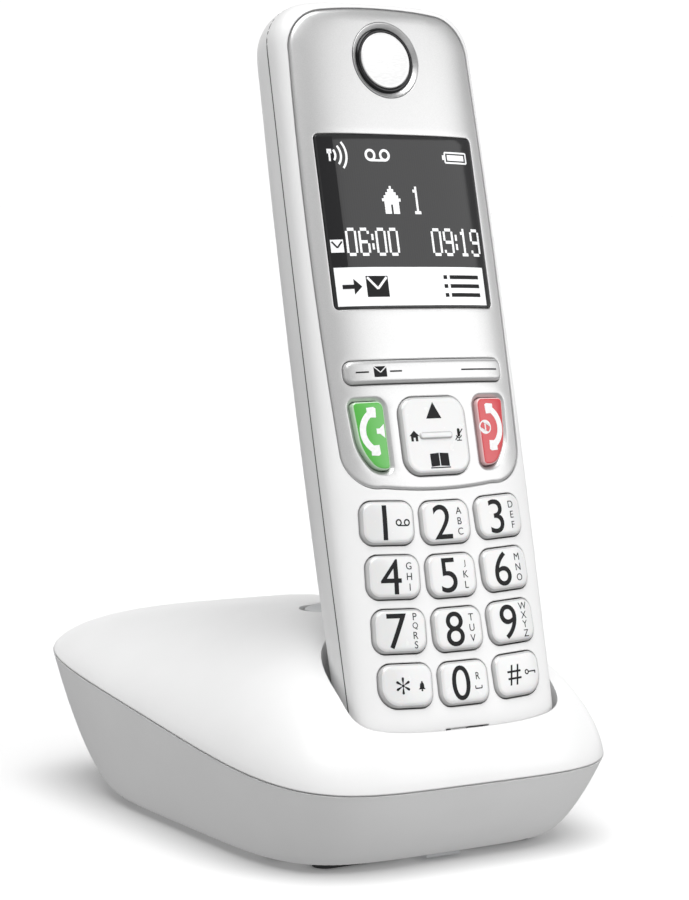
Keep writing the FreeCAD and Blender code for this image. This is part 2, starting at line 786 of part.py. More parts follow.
def make_cells():
    cells = []
    for side in (-1, 1):
        low = cell_bottom if side > 0 else cell_bottom + cell_tip_height
        can_length = cell_length - cell_tip_height
        can = rod(cell_radius, (cell_x(side), cell_depth, low), (0, 0, 1), can_length)
        tip_z = cell_bottom + can_length if side > 0 else cell_bottom
        tip = rod(cell_tip_radius, (cell_x(side), cell_depth, tip_z), (0, 0, 1), cell_tip_height)
        cells.append(can.fuse(tip))
    return Part.makeCompound(cells)


def make_cell_contacts():
    plates = []
    for side in (-1, 1):
        for low, tip in ((bay_low, bay_low + 0.4), (bay_high - 0.4, bay_high - 1.6)):
            x = cell_x(side)
            plate = box(x - 4.0, x + 4.0, cell_depth - 4.0, cell_depth + 4.0, low, low + 0.4)
            plates.append(plate.fuse(rod(1.4, (x, cell_depth, tip), (0, 0, 1), 1.2)))
    return Part.makeCompound(plates)


def make_handset_screws():
    screws = []
    for x, z in handset_screw_places():
        head = rod(post_head_radius, (x, handset_screw_head, z), (0, 1, 0), 1.4)
        shank = rod(post_shank_radius, (x, 4.0, z), (0, 1, 0), handset_screw_head - 4.0)
        slot_y = handset_screw_head + 0.8
        slot = box(x - 1.2, x + 1.2, slot_y, slot_y + 1.2, z - slot_half, z + slot_half)
        screws.append(head.fuse(shank).cut(slot))
    return Part.makeCompound(screws)


def make_key_mat():
    sheet = box(-18.6, 18.6, mat_sheet, mat_sheet + mat_thick, 9.0, 76.0)
    sheet = sheet.cut(box(-11.2, 11.2, 0, 20, nav_middle - 9.5, 80))
    domes = []
    for wire in press_outlines.values():
        centre = wire.BoundBox.Center
        place = Vector(centre.x, mat_top, centre.z)
        domes.append(Part.makeCone(1.6, 2.6, dome_height + 0.1, place, Vector(0, 1, 0)))
    return sheet.fuse(domes)


def make_handset_board():
    back = board_front + board_thick
    board = box(-board_half, board_half, board_front, back, 10.0, handset_length - board_top_inset)
    return board.cut(box(-3, 3, 0, 20, 9, 12))


def make_charge_pads():
    pads = [rod(3.0, (side * contact_x, contact_depth, 0.0), (0, 0, 1), 0.6) for side in (-1, 1)]
    return Part.makeCompound(pads)


def handset_parts():
    """Every piece of the handset, still upright in the handset's own frame."""
    pads = make_charge_pads()
    panel_front = handset_wall + 1.0
    panel_back = panel_front + 1.7
    guide_front = panel_back + 0.05
    board_back = board_front + board_thick
    panel_low = window_middle - 17.6
    panel_high = window_middle + 17.6
    antenna_z = handset_length - 14.5
    made = {
        "handset_front_shell": make_front_shell(),
        "handset_back_shell": make_back_shell().cut(pads),
        "front_plate": make_front_plate(),
        "display_window": face_skin(window_outline, plate_thick),
        "display_panel": box(-18.9, 18.9, panel_front, panel_back, panel_low, panel_high),
        "display_backlight": box(-18.9, 18.9, guide_front, guide_front + 1.95, panel_low, panel_high),
        "earpiece_bezel": ear_disc(ear_bezel_radius, 0.15, plate_thick).cut(
            rod(ear_ring_radius + 0.05, (0, -5, ear_middle), (0, 1, 0), 12)),
        "earpiece_ring": ear_disc(ear_ring_radius, 0.5, plate_thick).cut(
            rod(ear_cap_radius + 0.05, (0, -5, ear_middle), (0, 1, 0), 12)),
        "earpiece_cap": ear_disc(ear_cap_radius, 0.1, plate_thick),
        "earpiece_speaker": rod(7.5, (0, handset_wall + 0.8, ear_middle), (0, 1, 0), 3.8),
        "ringer_speaker": rod(9.0, (0, 13.0, handset_length - 21.8), (0, 1, 0), 4.5),
        "microphone": rod(2.0, (0, 4.6, 6.2), (0, 1, 0), 1.5),
        "keypad_mat": make_key_mat(),
        "handset_circuit_board": make_handset_board(),
        "handset_radio_shield": make_upright_shield(),
        "handset_antenna": box(-15, 15, board_back, board_back + 2.6, antenna_z, antenna_z + 1.0),
        "battery_cells": make_cells(),
        "battery_contacts": make_cell_contacts(),
        "battery_cover": make_battery_cover(),
        "charge_pads": pads,
        "handset_screws": make_handset_screws(),
        "softkey_bar": make_softkey(),
        "nav_key": make_nav_key(),
        "nav_key_carrier": make_nav_carrier(),
    }
    for name, wire in press_outlines.items():
        made[name] = make_press_key(wire)
    return made


def make_upright_shield():
    lid = make_shield(-13, 13, -12, 12, 0, 1.8)
    lid.rotate(Vector(0, 0, 0), Vector(1, 0, 0), -90)
    lid.translate(Vector(0, board_front + board_thick, 112.0))
    return lid


below_dome = dome(0.4).fuse(bowl(0.4))
pocket_hole = leaned(handset_body(cradle_side_gap, cradle_face_gap, cradle_side_gap, cradle_floor_gap))
pocket_block = leaned(handset_body(cradle_side_gap + pocket_wall, cradle_face_gap + pocket_wall,
                                   cradle_side_gap + pocket_wall, cradle_floor_gap + pocket_wall))

parts["base_top_shell"] = make_top_shell(pocket_hole, pocket_block)
parts["base_bottom_shell"] = make_bottom_shell()
parts["base_front_tab"] = tab_shape()
parts["base_foot_pads"] = Part.makeCompound([pad_shape(*place) for place in pad_places()])
parts["base_screws"] = make_base_screws()
parts["base_circuit_board"] = make_base_board()
parts["base_radio_shield"] = make_shield(-16, 8, -34, -20, board_top, board_top + 2.6)
parts["base_antennas"] = Part.makeCompound([make_antenna(-1), make_antenna(1)])
parts["base_capacitors"] = make_capacitors()
parts["line_socket"] = make_socket(socket_x)
parts["power_socket"] = make_socket(-socket_x)
parts["socket_wires"] = make_socket_wires()
parts["page_switch"] = make_page_switch()
parts["page_button"] = make_page_button()
parts["contact_block"] = leaned(make_contact_block())
parts["contact_left"] = leaned(make_contact(-1))
parts["contact_right"] = leaned(make_contact(1))
for name, shape in handset_parts().items():
    parts[name] = leaned(shape)

os.makedirs("parts", exist_ok=True)
for name, shape in parts.items():
    shape.exportStep("parts/%s.step" % name)
    state = "valid" if shape.isValid() else "INVALID"
    print(name, len(shape.Solids), "solids", round(shape.Volume), "mm3", state)
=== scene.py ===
import json
import math

import bmesh
import bpy
from bpy.props import FloatProperty, FloatVectorProperty, IntProperty, PointerProperty
from mathutils import Matrix, Vector
from mathutils.bvhtree import BVHTree
from mathutils.geometry import delaunay_2d_cdt


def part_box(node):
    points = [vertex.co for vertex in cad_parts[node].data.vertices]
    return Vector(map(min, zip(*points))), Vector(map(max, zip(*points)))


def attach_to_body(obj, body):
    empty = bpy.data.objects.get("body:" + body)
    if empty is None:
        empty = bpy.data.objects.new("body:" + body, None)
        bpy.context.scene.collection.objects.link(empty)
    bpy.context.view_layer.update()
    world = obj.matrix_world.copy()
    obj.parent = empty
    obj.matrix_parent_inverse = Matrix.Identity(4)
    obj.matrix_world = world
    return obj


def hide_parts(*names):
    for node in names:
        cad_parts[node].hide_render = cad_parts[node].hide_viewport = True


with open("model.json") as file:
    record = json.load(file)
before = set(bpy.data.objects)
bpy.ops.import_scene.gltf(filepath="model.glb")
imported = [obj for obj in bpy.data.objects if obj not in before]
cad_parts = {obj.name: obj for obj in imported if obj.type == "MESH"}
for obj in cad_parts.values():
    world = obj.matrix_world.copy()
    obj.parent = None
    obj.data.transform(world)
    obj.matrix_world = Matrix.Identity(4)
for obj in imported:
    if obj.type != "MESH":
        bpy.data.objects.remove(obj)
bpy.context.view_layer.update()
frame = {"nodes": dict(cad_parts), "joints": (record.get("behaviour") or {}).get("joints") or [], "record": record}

bl_info = {
    "name": "Cordless Phone Looks",
    "version": (1, 0, 0),
    "blender": (4, 5, 0),
    "location": "View3D > Sidebar > Phone",
    "description": "Builds the visible keys, display, earpiece and finishes round the phone's frame",
    "category": "Object",
}

MM = 0.001
CALL_KEY_X = 15.25    # millimetres from the handset's middle to the middle of the talk or end key
CALL_KEY_Z = 66.3     # millimetres from the handset's foot
NUMBER_KEYS = ("key_1", "key_2", "key_3", "key_4", "key_5", "key_6",
               "key_7", "key_8", "key_9", "key_star", "key_0", "key_hash")
KEY_LETTERS = {"key_2": "ABC", "key_3": "DEF", "key_4": "GHI", "key_5": "JKL", "key_6": "MNO",
               "key_7": "PQRS", "key_8": "TUV", "key_9": "WXYZ"}
DOT_ROWS = {
    "0": (".###.", "#...#", "#...#", "#...#", "#...#", "#...#", "#...#", "#...#", ".###."),
    "1": ("..#..", ".##..", "..#..", "..#..", "..#..", "..#..", "..#..", "..#..", ".###."),
    "6": (".###.", "#...#", "#....", "#....", "####.", "#...#", "#...#", "#...#", ".###."),
    "9": (".###.", "#...#", "#...#", "#...#", ".####", "....#", "....#", "#...#", ".###."),
    ":": (".", ".", "#", "#", ".", "#", "#", ".", "."),
    "home": ("....#....", "...###...", "..#####..", ".#######.", "#########", ".#######.", ".###.###.",
             ".###.###.", ".###.###."),
}


# ---------------------------------------------------------------- what a user would change
def length(label, text, size):
    return FloatProperty(name=label, description=text, default=size * MM, unit="LENGTH", precision=5)


def colour(label, text, red, green, blue):
    return FloatVectorProperty(name=label, description=text, default=(red, green, blue),
                               subtype="COLOR", size=3, min=0.0, max=1.0)


class PhoneHandsetSizes(bpy.types.PropertyGroup):
    """The handset's own form, the same as the frame's."""
    long: length("Length", "From the foot to the top of the handset", 158.5)
    wide: length("Width", "Across the seam between the shells", 50.4)
    barrel: length("Barrel", "How far the sides draw in at both ends", 0.6)
    seam: length("Seam depth", "From the face to the seam between the shells", 6.5)
    foot_y: length("Foot place", "Where the handset's foot stands in the base, front to back", -59.76)
    foot_z: length("Foot height", "How high the handset's foot stands in the base", 23.76)
    drop: length("Keypad drop", "How much deeper the keypad end lies", 1.2)
    drop_length: length("Keypad drop length", "Height up to which the keypad drops", 58.0)
    face_power: FloatProperty(name="Face squareness", description="2 is round, more is flatter", default=3.3)
    corner: length("End corner", "Rounding of the ends seen from the front", 9.0)
    seam_line: length("Seam line", "Width of the dark line between the shells", 0.3)


class PhoneKeySizes(bpy.types.PropertyGroup):
    """The keys, the softkey bar and their print."""
    wide: length("Key width", "Across one number key", 12.1)
    high: length("Key height", "Up one number key", 8.8)
    corner: length("Key corner", "Corner rounding of a number key", 2.6)
    outer_corner: length("Outer corner", "Larger corner of the two lowest outer keys", 4.2)
    proud: length("Key rise", "How far a key stands out of the face", 0.85)
    rim: length("Key rim", "Width of the sloping clear rim", 0.75)
    turn: FloatProperty(name="Key turn", description="Lean of the outer columns", subtype="ANGLE",
                        default=math.radians(3.0))
    digit: length("Digit height", "Height of the large digits", 7.1)
    letter: length("Letter height", "Height of the small letters", 1.45)
    ink: length("Ink", "Thickness of the printed marks", 0.06)
    nav: length("Navigation key", "Side of the square navigation key", 16.2)
    bar_wide: length("Softkey width", "Across the softkey bar", 39.0)
    bar_high: length("Softkey height", "Up the softkey bar", 4.7)


class PhoneDisplaySizes(bpy.types.PropertyGroup):
    """The display window and what is lit on it."""
    wide: length("Window width", "Across the window", 39.0)
    high: length("Window height", "Up the window", 36.6)
    dot_wide: length("Dot width", "Pitch of the display's dots, across", 0.51)
    dot_high: length("Dot height", "Pitch of the display's dots, upwards", 0.66)
    bar_high: length("Menu bar", "Height of the white bar at the foot", 8.1)
    steps: IntProperty(name="Steps", description="Divisions across the curved window", default=26)


class PhonePlateSizes(bpy.types.PropertyGroup):
    """The silver front plate."""
    half: length("Half width", "From the middle to the widest part of the side", 23.0)
    low: length("Foot", "Height of the lowest edge on the handset", 54.7)
    high: length("Top", "Height of the highest edge on the handset", 156.9)
    gap: length("Key gap", "Clearance round each key", 0.2)


class PhoneColours(bpy.types.PropertyGroup):
    """Colours of the finishes."""
    shell: colour("Shell", "White moulded shells", 0.80, 0.80, 0.80)
    silver: colour("Plate", "Silver paint of the front plate", 0.58, 0.58, 0.58)
    key: colour("Key face", "Pale face of the keys", 0.72, 0.72, 0.72)
    rim: colour("Key rim", "Clear sloping rim of the keys", 0.50, 0.50, 0.50)
    green: colour("Talk key", "Green of the talk key", 0.085, 0.42, 0.06)
    red: colour("End key", "Red of the end key", 0.56, 0.035, 0.045)
    glass: colour("Display", "Dark ground of the display", 0.028, 0.028, 0.029)
    lit: colour("Lit dots", "White of the display's marks", 0.82, 0.83, 0.84)
    ink: colour("Ink", "Black print on the keys", 0.012, 0.012, 0.013)


class PhoneStageSizes(bpy.types.PropertyGroup):
    """Camera, lights and floor."""
    lens: FloatProperty(name="Lens", description="Focal length in millimetres", default=102.9)
    yaw: FloatProperty(name="Yaw", description="Turn of the view to the right", subtype="ANGLE",
                       default=math.radians(32.93))
    pitch: FloatProperty(name="Pitch", description="How far the view looks down", subtype="ANGLE",
                         default=math.radians(5.56))
    roll: FloatProperty(name="Roll", description="Roll of the view", subtype="ANGLE",
                        default=math.radians(0.89))
    place: FloatVectorProperty(name="Camera place", description="Where the camera stands", size=3,
                               default=(-0.30231, -0.47561, 0.13407), subtype="TRANSLATION", unit="LENGTH")
    sky: FloatProperty(name="Sky", description="Strength of the sky above the white horizon", default=0.38)
    ground: FloatProperty(name="Ground", description="Strength of the light thrown back from below",
                          default=0.46)
    overhead: FloatProperty(name="Overhead light", description="Strength of the broad light from above",
                            default=2.75)
    key_power: FloatProperty(name="Side light", description="Power of the softbox at the front right",
                             default=2.3, unit="POWER")


def handset():
    return bpy.context.scene.phone_handset


def keys():
    return bpy.context.scene.phone_keys


def display():
    return bpy.context.scene.phone_display


def plate():
    return bpy.context.scene.phone_plate


def colours():
    return bpy.context.scene.phone_colours


# ---------------------------------------------------------------- the handset's own frame
def lift_axis():
    """Direction up the handset, from the frame's own lifting joint."""
    for joint in frame["joints"]:
        if joint["name"] == "handset_lift":
            return Vector(joint["axis"]).normalized()
    raise RuntimeError("the frame has no handset_lift joint")


UP = lift_axis()
INWARD = Vector((0.0, UP.z, -UP.y))


def row(x, depth, z):
    """Point of the phone from its place on the handset: across, into the face, and up."""
    size = handset()
    return Vector((0.0, size.foot_y, size.foot_z)) + Vector((x, 0.0, 0.0)) + INWARD * depth + UP * z


def on_handset(point):
    """The opposite of row."""
    size = handset()
    away = Vector(point) - Vector((0.0, size.foot_y, size.foot_z))
    return away.x, away.dot(INWARD), away.dot(UP)


def node_middle(node):
    """Middle of a frame node across and up the handset."""
    places = [on_handset(v.co) for v in frame["nodes"][node].data.vertices]
    xs = [p[0] for p in places]
    zs = [p[2] for p in places]
    return (min(xs) + max(xs)) / 2, (min(zs) + max(zs)) / 2


def end_share(distance, reach):
    """Part of an end rounding still missing at this distance from the end."""
    if distance >= reach:
        return 0.0
    return 1 - math.sqrt(max(0.0, 1 - ((reach - distance) / reach) ** 2))


def half_width(z):
    size = handset()
    middle = size.long / 2
    width = size.wide / 2 - size.barrel * ((z - middle) / middle) ** 2
    width -= size.corner * end_share(z, size.corner)
    return width - (size.corner + 0.5 * MM) * end_share(size.long - z, size.corner + 0.5 * MM)


def face_depth(x, z):
    """Depth of the curved face at a place on it."""
    size = handset()
    near = size.drop * max(0.0, 1 - z / size.drop_length)
    near += 4.4 * MM * end_share(z, 8.0 * MM) + 3.0 * MM * end_share(size.long - z, 4.0 * MM)
    share = min(abs(x) / half_width(z), 0.999)
    return size.seam - (size.seam - near) * (1 - share ** size.face_power) ** (1 / size.face_power)


# ---------------------------------------------------------------- mesh helpers
def finish_mesh(name, build, materials, sharp=35.0):
    """Object of a bmesh, its faces turned outwards and smooth but for real edges."""
    bmesh.ops.recalc_face_normals(build, faces=build.faces[:])
    mesh = bpy.data.meshes.new(name)
    build.to_mesh(mesh)
    build.free()
    for material in materials:
        mesh.materials.append(material)
    mesh.shade_smooth()
    mesh.set_sharp_from_angle(angle=math.radians(sharp))
    piece = bpy.data.objects.new(name, mesh)
    bpy.context.scene.collection.objects.link(piece)
    return piece


def attach(piece, body, slot, *nodes):
    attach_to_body(piece, body)
    if nodes:
        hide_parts(*nodes)
    return piece


def rounded_outline(corners, radii, inset, arc=7, edge=7, least=0.12 * MM):
    """Closed outline of a polygon with rounded corners, moved inwards by inset."""
    arcs = []
    count = len(corners)
    for i in range(count):
        corner = Vector(corners[i])
        before = (Vector(corners[i - 1]) - corner).normalized()
        after = (Vector(corners[(i + 1) % count]) - corner).normalized()
        half = before.angle(after) / 2
        inner = (before + after).normalized()
        corner = corner + inner * (inset / math.sin(half))
        radius = max(radii[i] - inset, least)
        centre = corner + inner * (radius / math.sin(half))
        start = corner + before * (radius / math.tan(half)) - centre
        stop = corner + after * (radius / math.tan(half)) - centre
        turn = math.atan2(start.x * stop.y - start.y * stop.x, start.dot(stop))
        arcs.append([centre + Matrix.Rotation(turn * k / arc, 2) @ start for k in range(arc + 1)])
    points = []
    for i, piece in enumerate(arcs):
        points += piece
        following = arcs[(i + 1) % count][0]
        points += [piece[-1].lerp(following, k / (edge + 1)) for k in range(1, edge + 1)]
    return points


def box_corners(wide, high):
    return [(-wide / 2, -high / 2), (wide / 2, -high / 2), (wide / 2, high / 2), (-wide / 2, high / 2)]


def metres(profile):
    """A profile written in millimetres, in metres."""
    return [(across * MM, rise * MM) for across, rise in profile]


def ring_solid(name, rings, place, materials, rim_rings=0, sharp=35.0):
    """Closed solid from rings of (u, v, rise), the first one at the foot and the last one closed by a fan.

    Faces up to rim_rings take the second material."""
    build = bmesh.new()
    levels = [[build.verts.new(place(*p)) for p in ring] for ring in rings]
    count = len(levels[0])
    for level in range(len(levels) - 1):
        for i in range(count):
            j = (i + 1) % count
            face = build.faces.new((levels[level][i], levels[level][j],
                                    levels[level + 1][j], levels[level + 1][i]))
            face.material_index = 1 if level < rim_rings else 0
    for ring, rim in ((rings[0], 1 if rim_rings else 0), (rings[-1], 0)):
        middle = [sum(p[k] for p in ring) / count for k in range(3)]
        centre = build.verts.new(place(*middle))
        verts = levels[0] if ring is rings[0] else levels[-1]
        for i in range(count):
            face = build.faces.new((verts[i], verts[(i + 1) % count], centre))
            face.material_index = rim
    return finish_mesh(name, build, materials, sharp)


def cap_rings(outline, profile, crown, shares):
    """Rings of a cap: a rim profile of (inset, rise), and then a crowned top."""
    rings = [[(p.x, p.y, rise) for p in outline(inset)] for inset, rise in profile]
    inset, top = profile[-1]
    edge = outline(inset)
    for share in shares:
        rings.append([(p.x * share, p.y * share, top + crown * (1 - share * share)) for p in edge])
    return rings


def face_place(x, z, turn=0.0):
    """Places a point (across, up, rise) on the handset's face round x, z."""
    cos = math.cos(turn)
    sin = math.sin(turn)

    def place(u, v, rise):
        across = x + u * cos - v * sin
        up = z + u * sin + v * cos
        return row(across, face_depth(across, up) - rise, up)

    return place


def lathe_rings(profile, steps=96):
    turns = [2 * math.pi * i / steps for i in range(steps)]
    return [[(r * math.cos(a), r * math.sin(a), rise) for a in turns] for r, rise in profile]


def lathe_band(name, profile, place, materials, steps=96):
    """Closed band: a profile of (radius, rise) that meets itself, turned round an axis."""
    build = bmesh.new()
    levels = [[build.verts.new(place(*p)) for p in ring] for ring in lathe_rings(profile, steps)]
    for k, level in enumerate(levels):
        other = levels[(k + 1) % len(levels)]
        for i in range(steps):
            j = (i + 1) % steps
            build.faces.new((level[i], level[j], other[j], other[i]))
    return finish_mesh(name, build, materials)


# ---------------------------------------------------------------- print and inlays
def bar(x0, z0, x1, z1, width):
    along = Vector((x1 - x0, z1 - z0)).normalized()
    side = Vector((-along.y, along.x)) * width / 2
    return [(x0 + side.x, z0 + side.y), (x0 - side.x, z0 - side.y),
            (x1 - side.x, z1 - side.y), (x1 + side.x, z1 + side.y)]


def arc_band(x, z, inner, outer, start, stop, steps=18):
    """Band between two radii, from one angle in degrees to another."""
    angles = [math.radians(start + (stop - start) * i / steps) for i in range(steps + 1)]
    outside = [(x + outer * math.cos(a), z + outer * math.sin(a)) for a in angles]
    inside = [(x + inner * math.cos(a), z + inner * math.sin(a)) for a in reversed(angles)]
    return outside + inside


def dot(x, z, radius, steps=20):
    return [(x + radius * math.cos(2 * math.pi * i / steps), z + radius * math.sin(2 * math.pi * i / steps))
            for i in range(steps)]


def box_mark(x0, z0, x1, z1):
    return [(x0, z0), (x1, z0), (x1, z1), (x0, z1)]


def hoop(x, z, inner, outer):
    return [arc_band(x, z, inner, outer, 0, 180), arc_band(x, z, inner, outer, 180, 360)]


def shifted(marks, x, z, scale=1.0):
    return [[(x + u * scale, z + v * scale) for u, v in mark] for mark in marks]


def tape():
    return hoop(-1.15, 0, 0.5, 0.85) + hoop(1.15, 0, 0.5, 0.85) + [bar(-1.2, -0.72, 1.2, -0.72, 0.3)]


def bell():
    return [[(-0.95, -0.75), (0.95, -0.75), (0.62, -0.35), (0.55, 0.45), (0.25, 0.85), (-0.25, 0.85),
             (-0.55, 0.45), (-0.62, -0.35)], dot(0, -1.0, 0.25), dot(0, 1.0, 0.2)]


def lock_key():
    return hoop(-1.2, 0, 0.35, 0.65) + [bar(-0.6, 0, 1.7, 0, 0.3), bar(1.5, 0, 1.5, -0.6, 0.3)]


def space_mark():
    return [bar(-0.8, -0.45, 0.8, -0.45, 0.22), bar(-0.8, -0.45, -0.8, 0.15, 0.22),
            bar(0.8, -0.45, 0.8, 0.15, 0.22)]


def house():
    return [[(-1.45, 0.1), (1.45, 0.1), (0, 1.4)], box_mark(-1.0, -1.2, -0.3, 0.1),
            box_mark(0.3, -1.2, 1.0, 0.1), box_mark(-0.3, -0.3, 0.3, 0.1)]


def book():
    left = [(-0.12, -1.35), (-2.4, -1.5), (-2.4, 1.35), (-0.12, 1.5)]
    return [left, [(-u, v) for u, v in reversed(left)], bar(-2.6, -1.75, 2.6, -1.75, 0.25)]


def muted_microphone():
    return [bar(0, -0.2, 0, 1.1, 0.75), dot(0, 1.1, 0.375), dot(0, -0.2, 0.375),
            arc_band(0, -0.1, 0.62, 0.85, 190, 350), bar(0, -0.85, 0, -1.5, 0.22),
            bar(-0.7, -1.5, 0.7, -1.5, 0.22), bar(-1.1, -1.4, 1.2, 1.3, 0.26)]


def receiver(side):
    """Telephone receiver, its back bulging towards side."""
    marks = [arc_band(3.4, 0, 3.9, 5.35, 118, 242, 30),
             [(0.3, 3.1), (2.3, 3.0), (2.45, 5.0), (1.9, 5.35), (0.2, 5.2)],
             [(0.2, -5.2), (1.9, -5.35), (2.45, -5.0), (2.3, -3.0), (0.3, -3.1)]]
    if side < 0:
        return marks
    return [[(-u, v) for u, v in reversed(mark)] for mark in marks]


def loudspeaker():
    return [box_mark(-1.1, -0.55, -0.35, 0.55), [(-0.35, -0.55), (0.75, -1.45), (0.75, 1.45), (-0.35, 0.55)]]


def power_mark():
    return hoop(0, 0, 1.45, 1.75) + [bar(0, -0.8, 0, 0.8, 0.36)]


def signal():
    marks = [bar(-3.2, -1.5, -3.2, 1.0, 0.5), box_mark(-3.8, 0.4, -2.6, 1.5)]
    for radius in (1.7, 3.2, 4.7):
        marks.append(arc_band(-3.6, 0, radius, radius + 0.55, -40, 40))
    return marks


def battery():
    return [bar(-3.0, -1.1, 2.7, -1.1, 0.35), bar(-3.0, 1.1, 2.7, 1.1, 0.35),
            bar(-3.0, -1.1, -3.0, 1.1, 0.35), bar(2.7, -1.1, 2.7, 1.1, 0.35),
            box_mark(-2.4, -0.6, 2.1, 0.6), box_mark(-3.7, -0.5, -3.1, 0.5)]


def arrow():
    return [box_mark(-1.9, -0.35, 0.2, 0.35), [(0.2, -1.3), (1.7, 0.0), (0.2, 1.3)]]


def menu_lines():
    marks = []
    for i in range(3):
        z = 1.9 - 1.9 * i
        marks += [box_mark(-4.6, z - 0.4, -3.7, z + 0.4), box_mark(-3.0, z - 0.4, 4.6, z + 0.4)]
    return marks


def dot_text(text, x, z):
    """Rectangles of a line of tall display digits, its lower left corner at x, z in millimetres."""
    size = display()
    wide = size.dot_wide / MM
    high = size.dot_high / MM
    marks = []
    for letter in (text if text not in DOT_ROWS else [text]):
        rows = DOT_ROWS[letter]
        for i, line in enumerate(rows):
            top = z + high * (len(rows) - i)
            for j, ink in enumerate(line):
                if ink == "#":
                    left = x + j * wide
                    marks.append(box_mark(left, top - high * 0.96, left + wide * 0.98, top))
        x += (len(rows[0]) + 1) * wide
    return marks


def text_marks(text, x, z, high, width_share=1.0):
    """Triangles of a line of lettering centred on x, z, in millimetres."""
    curve = bpy.data.curves.new("lettering", "FONT")
    curve.body = text
    curve.align_x = "CENTER"
    curve.align_y = "CENTER"
    curve.resolution_u = 6
    holder = bpy.data.objects.new("lettering", curve)
    bpy.context.scene.collection.objects.link(holder)
    bpy.context.view_layer.update()
    mesh = bpy.data.meshes.new_from_object(holder.evaluated_get(bpy.context.evaluated_depsgraph_get()))
    xs = [v.co.x for v in mesh.vertices]
    ys = [v.co.y for v in mesh.vertices]
    scale = high / (max(ys) - min(ys)) if text not in "*#" else high / 0.7
    middle_x = (min(xs) + max(xs)) / 2
    middle_y = (min(ys) + max(ys)) / 2
    points = [((v.co.x - middle_x) * scale * width_share + x, (v.co.y - middle_y) * scale + z)
              for v in mesh.vertices]
    faces = [tuple(p.vertices) for p in mesh.polygons]
    bpy.data.objects.remove(holder)
    bpy.data.curves.remove(curve)
    bpy.data.meshes.remove(mesh)
    return points, faces


def grid_panel(x0, z0, x1, z1, steps):
    """A rectangle divided across, so that it bends with the face, in millimetres."""
    points = []
    for i in range(steps + 1):
        x = x0 + (x1 - x0) * i / steps
        points += [(x, z0), (x, z1)]
    return points, [(2 * i, 2 * i + 2, 2 * i + 3, 2 * i + 1) for i in range(steps)]


def surface_of(piece):
    """Search tree of a piece's faces, in the phone's frame."""
    mesh = piece.data
    faces = [tuple(p.vertices) for p in mesh.polygons]
    return BVHTree.FromPolygons([v.co.copy() for v in mesh.vertices], faces)


def divided(points, faces, across=0.8, upwards=1.6):
    """The same flat faces cut along a grid, so that they can follow a curved surface."""
    flat = bmesh.new()
    verts = [flat.verts.new((u, v, 0.0)) for u, v in points]
    for face in faces:
        flat.faces.new([verts[i] for i in face])
    bmesh.ops.triangulate(flat, faces=flat.faces[:])
    for axis, pitch in ((0, across), (1, upwards)):
        places = [point[axis] for point in points]
        for step in range(math.ceil(min(places) / pitch), math.ceil(max(places) / pitch)):
            normal = Vector((1 - axis, axis, 0))
            geometry = flat.verts[:] + flat.edges[:] + flat.faces[:]
            bmesh.ops.bisect_plane(flat, geom=geometry, dist=1e-5, plane_co=normal * step * pitch,
                                   plane_no=normal)
    bmesh.ops.triangulate(flat, faces=flat.faces[:])
    flat.verts.index_update()
    result = [(v.co.x, v.co.y) for v in flat.verts], [tuple(v.index for v in f.verts) for f in flat.faces]
    flat.free()
    return result


def inlay(name, sheets, marks, tree, x, z, turn, material, lift=0.0):
    """Thin solid marks laid on a surface, in millimetres: sheets are (points, faces), marks are outlines."""
    build = bmesh.new()
    cos = math.cos(turn)
    sin = math.sin(turn)
    thick = keys().ink
    for sheet in list(sheets) + [(mark, [tuple(range(len(mark)))]) for mark in marks]:
        points, faces = divided(*sheet)
        tops = []
        feet = []
        for u, v in points:
            across = x + (u * cos - v * sin) * MM
            up = z + (u * sin + v * cos) * MM
            hit = tree.ray_cast(row(across, -20 * MM, up), INWARD)[0]
            if hit is None:
                raise RuntimeError(f"{name} has a mark off its surface at {across:.4f}, {up:.4f}")
            tops.append(build.verts.new(hit - INWARD * (thick / 2 + lift)))
            feet.append(build.verts.new(hit + INWARD * (thick / 2)))
        edges = {}
        for face in faces:
            for i, a in enumerate(face):
                b = face[(i + 1) % len(face)]
                edges[(a, b)] = edges.get((a, b), 0) + 1
            build.faces.new([tops[i] for i in face])
            build.faces.new([feet[i] for i in reversed(face)])
        for a, b in edges:
            if (b, a) not in edges:
                build.faces.new((tops[a], feet[a], feet[b], tops[b]))
    return finish_mesh(name, build, [material], 40.0)


